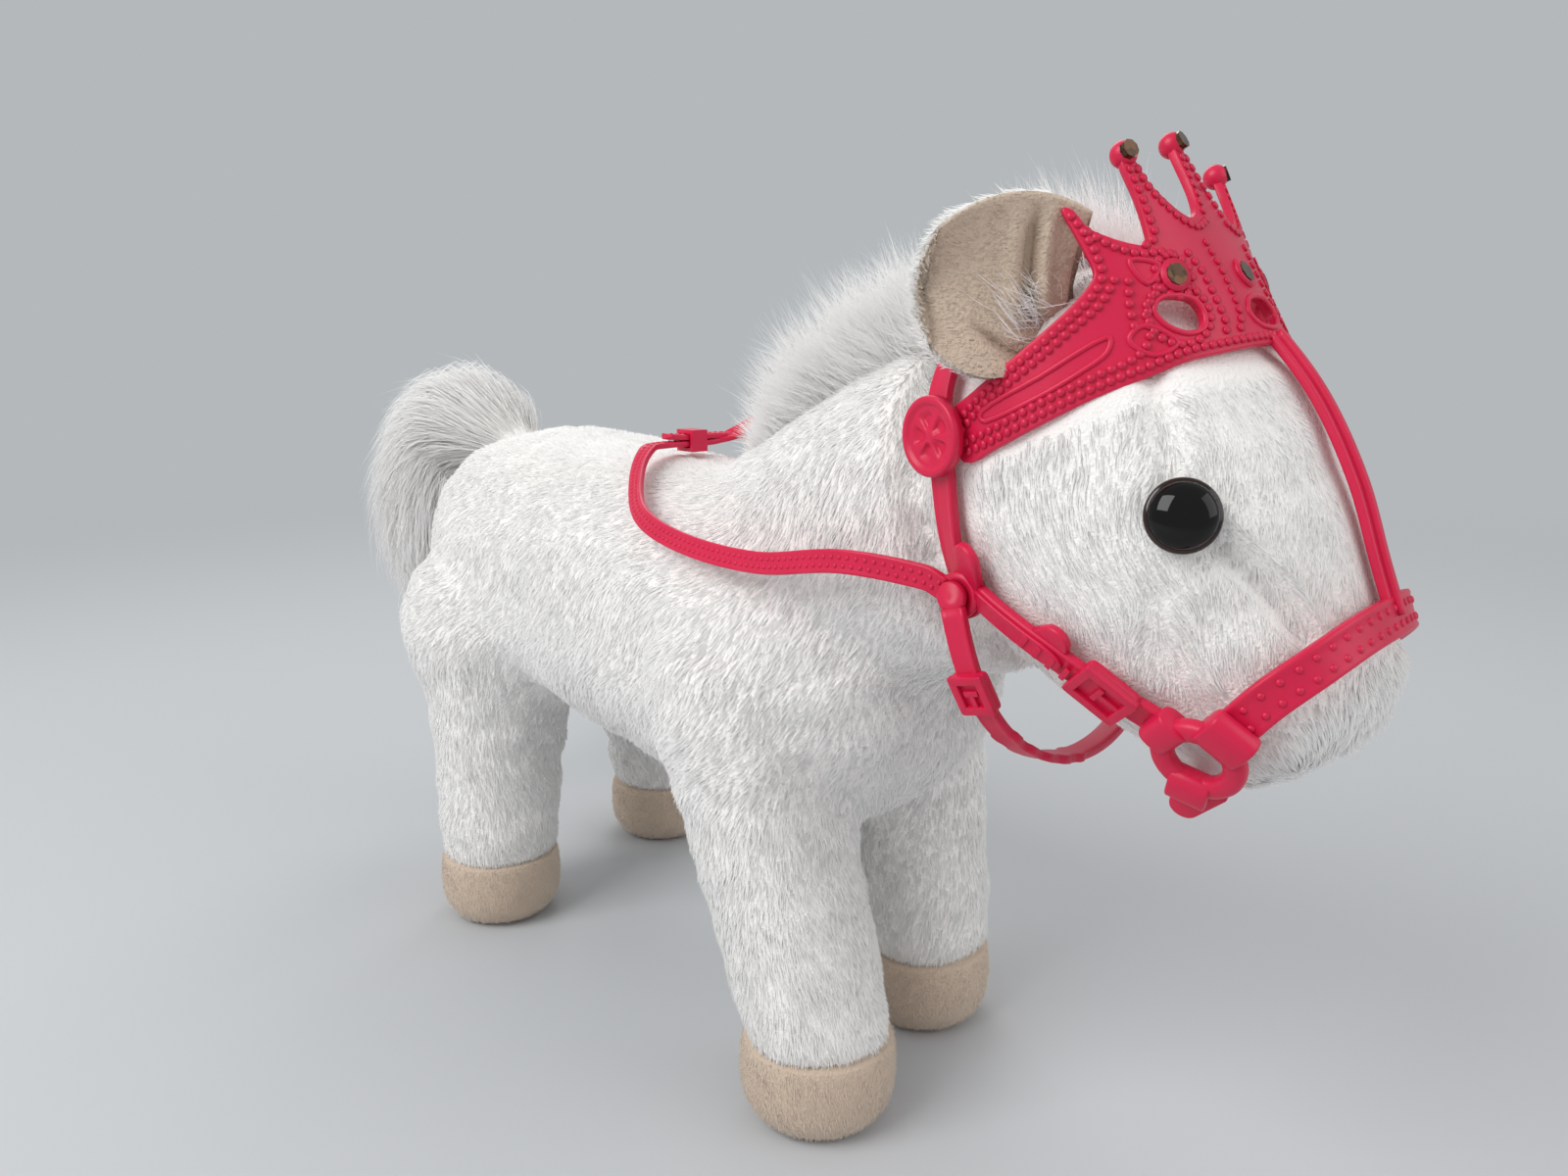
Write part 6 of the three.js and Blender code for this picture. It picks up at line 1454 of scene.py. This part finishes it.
def tiara_point(azimuth, height, out=0.0):
    """The leaning line's point at the height, plus the radius and the outward distance along the azimuth."""
    azimuth, height, out = np.broadcast_arrays(*(np.asarray(v, float) for v in (azimuth, height, out)))
    reach = tiara_radius(azimuth, height) + out
    turn = np.radians(azimuth)
    point = TIARA_CENTRE + height[..., None] * TIARA_UP + (np.cos(turn) * reach)[..., None] * TIARA_AHEAD
    point[..., 1] -= np.sin(turn) * reach
    return point


def tiara_axes(azimuth, height):
    """Across, up and out on the tiara's outer face."""
    up = unit(tiara_point(azimuth, height + 1) - tiara_point(azimuth, height - 1))
    across = unit(tiara_point(azimuth + 1, height) - tiara_point(azimuth - 1, height))
    return across, up, np.cross(across, up)


ARC = np.radians(TIARA_INNER + TIARA_THICKNESS)


def closed_curve(points, per_side=4):
    """A closed smooth line through the points, with a few places from each to the next, by the cubic of
    between and the square roots of the distances."""
    points = np.asarray(points, float)
    wrapped = np.concatenate([points[-2:], points, points[:3]])
    lengths = np.concatenate([[0], np.cumsum(np.sqrt(np.linalg.norm(np.diff(wrapped, axis=0), axis=1)))])
    spans = zip(lengths[2:], lengths[3 : 3 + len(points)])
    places = np.concatenate([np.linspace(low, high, per_side, endpoint=False) for low, high in spans])
    return between(np.column_stack([lengths, wrapped]), places)


def flat_outline(points, mirror=False):
    """An outline of azimuth and height as flat millimetres, on the left when mirrored."""
    flat = np.asarray(points, float) * [ARC, 1]
    return flat * [-1, 1] if mirror else flat


def tiara_plate():
    """A flat moulding cut to the outline, with rounded edges and round openings, then bent round the leaning
    line."""
    right = flat_outline(TIARA_OUTLINE)
    outline = np.concatenate([right, right[::-1] * [-1, 1]])
    curve = bpy.data.curves.new("tiara_flat", "CURVE")
    curve.dimensions, curve.fill_mode = "2D", "BOTH"
    curve.extrude, curve.bevel_depth, curve.bevel_resolution = 0.55, 0.42, 2
    openings = [flat_outline(TIARA_HOLE), flat_outline(TIARA_HOLE, True), flat_outline(TIARA_FRONT_HOLE)]
    for loop in map(closed_curve, [outline, *openings]):
        spline = curve.splines.new("POLY")
        spline.points.add(len(loop) - 1)
        flat = np.column_stack([loop, np.zeros(len(loop)), np.ones(len(loop))])
        spline.points.foreach_set("co", flat.astype(np.float32).ravel())
        spline.use_cyclic_u = True
    holder = linked("tiara_flat", curve)
    mesh = worked_out(holder)
    bpy.data.objects.remove(holder)
    bm = bmesh.new()
    bm.from_mesh(mesh)
    bmesh.ops.remove_doubles(bm, verts=bm.verts, dist=0.01)
    for x in np.arange(-74, 74.1, 2.4):
        geometry = bm.verts[:] + bm.edges[:] + bm.faces[:]
        bmesh.ops.bisect_plane(bm, geom=geometry, plane_co=(x, 0, 0), plane_no=(1, 0, 0))
    for y in np.arange(-4, 46, 3.0):
        geometry = bm.verts[:] + bm.edges[:] + bm.faces[:]
        bmesh.ops.bisect_plane(bm, geom=geometry, plane_co=(0, y, 0), plane_no=(0, 1, 0))
    bmesh.ops.recalc_face_normals(bm, faces=bm.faces)
    bm.to_mesh(mesh)
    bm.free()
    flat = np.zeros(len(mesh.vertices) * 3, np.float32)
    mesh.vertices.foreach_get("co", flat)
    flat = flat.reshape(-1, 3)
    bent = tiara_point(flat[:, 0] / ARC, flat[:, 1], flat[:, 2] + 1.0)
    mesh.vertices.foreach_set("co", metres(looking(bent)).astype(np.float32).ravel())
    mesh.update()
    return mesh


def tube_along(line, radius, closed, sides=10):
    """A thin ridge on the tiara: circles of the radius round a line of azimuth and height."""
    azimuth, height = line[:, 0], line[:, 1]
    points = tiara_point(azimuth, height, TIARA_THICKNESS - 0.1)
    _, _, out = tiara_axes(azimuth, height)
    along = np.roll(points, -1, 0) - np.roll(points, 1, 0) if closed else np.gradient(points, axis=0)
    side = unit(np.cross(out, unit(along)))
    turn = full_turn(sides)[None, :, None]
    rings = points[:, None] + radius * (np.cos(turn) * side[:, None] + np.sin(turn) * out[:, None])
    return closed_ring(rings) if closed else closed_tube(rings)


def bead_shapes():
    """Rows of small balls on the tiara, evenly spaced along each row's smooth line, on both sides."""
    shapes = []
    lines = [smooth_line(np.asarray(row, float) * [ARC, 1], 160) for row in BEAD_ROWS]
    turn = np.linspace(0, 2 * np.pi, 161)
    for azimuth, height, wide, tall in BEAD_RINGS:
        lines.append(np.stack([(azimuth + wide * np.cos(turn)) * ARC, height + tall * np.sin(turn)], -1))
    for line in lines:
        length = lengths_along(line)
        closed = np.allclose(line[0], line[-1])
        places = np.linspace(0, length[-1], int(length[-1] / BEAD_PITCH) + 1)[: -1 if closed else None]
        azimuth, height = (at_lengths(line, length, places) / [ARC, 1]).T
        across, up, out = tiara_axes(azimuth, height)
        at = tiara_point(azimuth, height, TIARA_THICKNESS + 0.05)
        shapes += both_sides(stamped(dome(9), at, across, up, out, BEAD_RADIUS))
    return shapes


def gem_shape(radius):
    """A cut stone of nine sides: a girdle and three rings of sloping facets up to its point."""
    facets = [[radius, -0.9], [radius, 0.3], [radius * 0.78, 1.1], [radius * 0.45, 1.8]]
    return lathe([[0, -0.9], *facets, [0, 2.2]], 9)


def on_tiara(shape, azimuth, height, out):
    """A shape drawn about the origin, Z outwards, put on the tiara's face."""
    azimuth, height = np.asarray(float(azimuth)), np.asarray(float(height))
    across, up, outward = tiara_axes(azimuth, height)
    return tiara_point(azimuth, height, out) + shape[0] @ np.stack([across, up, outward]), shape[1]


def gem(name, azimuth, height, out, radius):
    """One cut gem on the tiara's face or on a peak's ball."""
    shape = looking_shape(on_tiara(gem_shape(radius), azimuth, height, out))
    piece(name + "_cut", shape, "head_assembly", DARK_GEM, (name,), smooth=False)


def tiara():
    """The bent plate with its ridges, beads, peak balls, gem settings and gems."""
    mesh = tiara_plate()
    mesh.name = "tiara_plate"
    band = linked("tiara_plate", mesh)
    mesh.materials.append(PINK_PVC)
    mesh.polygons.foreach_set("use_smooth", np.full(len(mesh.polygons), True))
    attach(band, "head_assembly")
    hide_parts("tiara")
    scale = np.array([1 / ARC, 1])
    shapes = bead_shapes()
    for panel in TIARA_PANELS + [TIARA_HOLE]:
        line = closed_curve(flat_outline(panel)) * scale
        shapes += both_sides(tube_along(line, 0.6, True))
    shapes.append(tube_along(closed_curve(flat_outline(TIARA_FRONT_HOLE)) * scale, 0.6, True))
    ball = pebble([2.7, 2.7, 2.7], 2, 14, 20)
    for azimuth, height in PEAKS.values():
        shapes.append((ball[0] + tiara_point(azimuth, height, 1.0), ball[1]))
    setting = lathe([[0, -0.6], [3.3, -0.6], [3.4, 0.2], [3.1, 0.55], [2.5, 0.5], [2.4, 0.1], [0, 0.1]], 28)
    for azimuth, height in GEM_SEATS.values():
        shapes.append(on_tiara(setting, azimuth, height, TIARA_THICKNESS))
    piece("tiara_relief", looking_shape(together(shapes)), "head_assembly", PINK_PVC)
    for side, (azimuth, height) in GEM_SEATS.items():
        gem(f"gem_{side}", azimuth, height, 2, 2.3)
    for side, (azimuth, height) in PEAKS.items():
        gem(f"gem_peak_{side}", azimuth, height, 2.9, 1.9)


tiara()


# Eyes
def eye_shape():
    """A polished dome, a quarter ellipse turned about its axis, on a flat back."""
    turn = np.linspace(0, np.pi / 2, 16)
    radius = EYE_RADIUS - 0.6
    arc = np.stack([radius * np.cos(turn), 0.8 + 3.6 * np.sin(turn)], -1)
    return lathe(np.concatenate([[[0, -0.5], [radius, -0.5]], arc]), 56)


def eye_rim_shape():
    """The thin brown ring that shows round the dome's foot."""
    side = [[EYE_RADIUS, -0.6], [EYE_RADIUS + 0.05, 0.5], [EYE_RADIUS - 0.3, 1.1]]
    return lathe([[0, -0.6], *side, [0, 1.1]], 56)


eye_right = straight_on_head(eye_shape(), EYE_S, EYE_ANGLE, 0)
rim_right = straight_on_head(eye_rim_shape(), EYE_S, EYE_ANGLE, 0)
for side_name, turn_over in SIDES.items():
    piece(f"eye_dome_{side_name}", looking_shape(turn_over(eye_right)), "head_assembly", EYE_BLACK,
          (f"eye_{side_name}",))
    piece(f"eye_rim_{side_name}", looking_shape(turn_over(rim_right)), "head_assembly", EYE_BROWN)


# Finishes of the kept CAD nodes
NODE_FINISHES = {
    "white_abs": WHITE_ABS, "acetal": ACETAL, "steel": STEEL, "cell_sleeve": CELL_SLEEVE,
    "board_green": BOARD_GREEN, "black_plastic": BLACK_ABS, "pink_pvc": PINK_PVC, "eye_black": EYE_BLACK,
    "dark_gem": DARK_GEM, "plush": PLUSH_BACKING, "velboa": VELBOA_BACKING, "long_fur": PLUSH_BACKING,
}
for part in frame["record"]["subparts"]:
    cad_mesh = NODES[part["node"]].data
    cad_mesh.materials.clear()
    cad_mesh.materials.append(NODE_FINISHES[part["material_slot"]])


# Floor, lights and camera
BACKGROUND = "#b4b8bb"
# What the lamps face, in metres of the model's frame
HORSE_MIDDLE = np.array([0, 0, 0.12])
# The photograph's camera in the drawing: its place in millimetres, its ways right and ahead, then its focal
# length and the picture's width in pixels
CAMERA_PLACE = [305.8, -222.9, 210.0]
CAMERA_RIGHT, CAMERA_AHEAD = [0.643, 0.766, 0.0], [-0.7493, 0.6287, -0.2079]
FOCAL_PIXELS, PHOTO_PIXELS = 1202, 1600


def seen_rays(tree):
    """One for rays straight from the camera or by way of a mirror or a clear piece, else nought."""
    path = node(tree, "LightPath")
    straight = {0: path.outputs["Is Camera Ray"], 1: path.outputs["Is Glossy Ray"]}
    seen = node(tree, "Math", straight, operation="MAXIMUM")
    through = {0: seen.outputs[0], 1: path.outputs["Is Transmission Ray"]}
    return node(tree, "Math", through, operation="MAXIMUM").outputs[0]


def floor():
    """A wide plain pale floor that keeps the horse's shadow and goes over into the background from 0.45 to
    1.5 m."""
    bm = bmesh.new()
    bmesh.ops.create_grid(bm, x_segments=1, y_segments=1, size=60)
    mesh = bpy.data.meshes.new("floor")
    bm.to_mesh(mesh)
    bm.free()
    made = linked("floor", mesh)
    material, tree, shader = surface("matt_paper", Roughness=0.9)
    shader.inputs["Base Color"].default_value = linear("#bfc2c5")
    place = node(tree, "TexCoord")
    reach = node(tree, "VectorMath", {0: place.outputs["Object"]}, operation="LENGTH")
    far = node(tree, "MapRange", {"Value": reach.outputs["Value"], "From Min": 0.45, "From Max": 1.5},
               interpolation_type="SMOOTHSTEP")
    share = node(tree, "Math", {0: far.outputs[0], 1: seen_rays(tree)}, operation="MULTIPLY")
    backdrop = node(tree, "Emission", {"Color": linear(BACKGROUND)})
    mixed = node(tree, "MixShader", {0: share.outputs[0], 1: shader.outputs[0], 2: backdrop.outputs[0]})
    tree.links.new(mixed.outputs[0], tree.nodes["Material Output"].inputs["Surface"])
    material.cycles.emission_sampling = "NONE"
    mesh.materials.append(material)


def set_up(name, data, place, axes):
    """An object of the data at a place in metres, its own X, Y and Z along the three axes."""
    made = linked(name, data)
    made.matrix_world = Matrix.Translation(place) @ Matrix(np.stack(axes, 1).tolist()).to_4x4()
    return made


def soft_lamp(name, place, size, power):
    """A square lamp at a place in metres that faces the horse's middle."""
    lamp = bpy.data.lights.new(name, "AREA")
    lamp.size, lamp.energy = size, power
    away = unit(np.array(place, float) - HORSE_MIDDLE)
    side = unit(np.cross([0, 0, 1.0], away))
    set_up(name, lamp, place, [side, np.cross(away, side), away])


def world_light():
    """Even pale light from all round, and a pale background for the camera and for reflections."""
    world = bpy.data.worlds.new("studio")
    bpy.context.scene.world = world
    world.use_nodes = True
    tree = world.node_tree
    tree.nodes.clear()
    light = node(tree, "Background", {"Color": linear("#ffffff"), "Strength": 0.62})
    pale = node(tree, "Background", {"Color": linear(BACKGROUND), "Strength": 1.0})
    mixed = node(tree, "MixShader", {0: seen_rays(tree), 1: light.outputs[0], 2: pale.outputs[0]})
    node(tree, "OutputWorld", {"Surface": mixed.outputs[0]})


def photo_camera():
    """The camera fitted to the photograph, 12 degrees down. Its lens is the sensor's width times the focal
    length over the picture's width."""
    data = bpy.data.cameras.new("camera")
    data.sensor_width = 36
    data.lens = data.sensor_width * FOCAL_PIXELS / PHOTO_PIXELS
    data.clip_start, data.clip_end = 0.01, 100
    right, ahead = unit(np.array(CAMERA_RIGHT)), unit(np.array(CAMERA_AHEAD))
    up = unit(np.cross(right, ahead))
    axes = [np.cross(ahead, up), up, -ahead]
    bpy.context.scene.camera = set_up("camera", data, metres(CAMERA_PLACE), axes)


floor()
soft_lamp("key_lamp", (-0.05, -1.0, 0.95), 0.8, 10.5)
soft_lamp("fill_lamp", (1.1, 0.5, 0.7), 0.9, 3.2)
soft_lamp("back_lamp", (-0.8, 0.7, 1.0), 0.7, 3.2)
world_light()
photo_camera()
bpy.context.scene.view_settings.view_transform = "Standard"
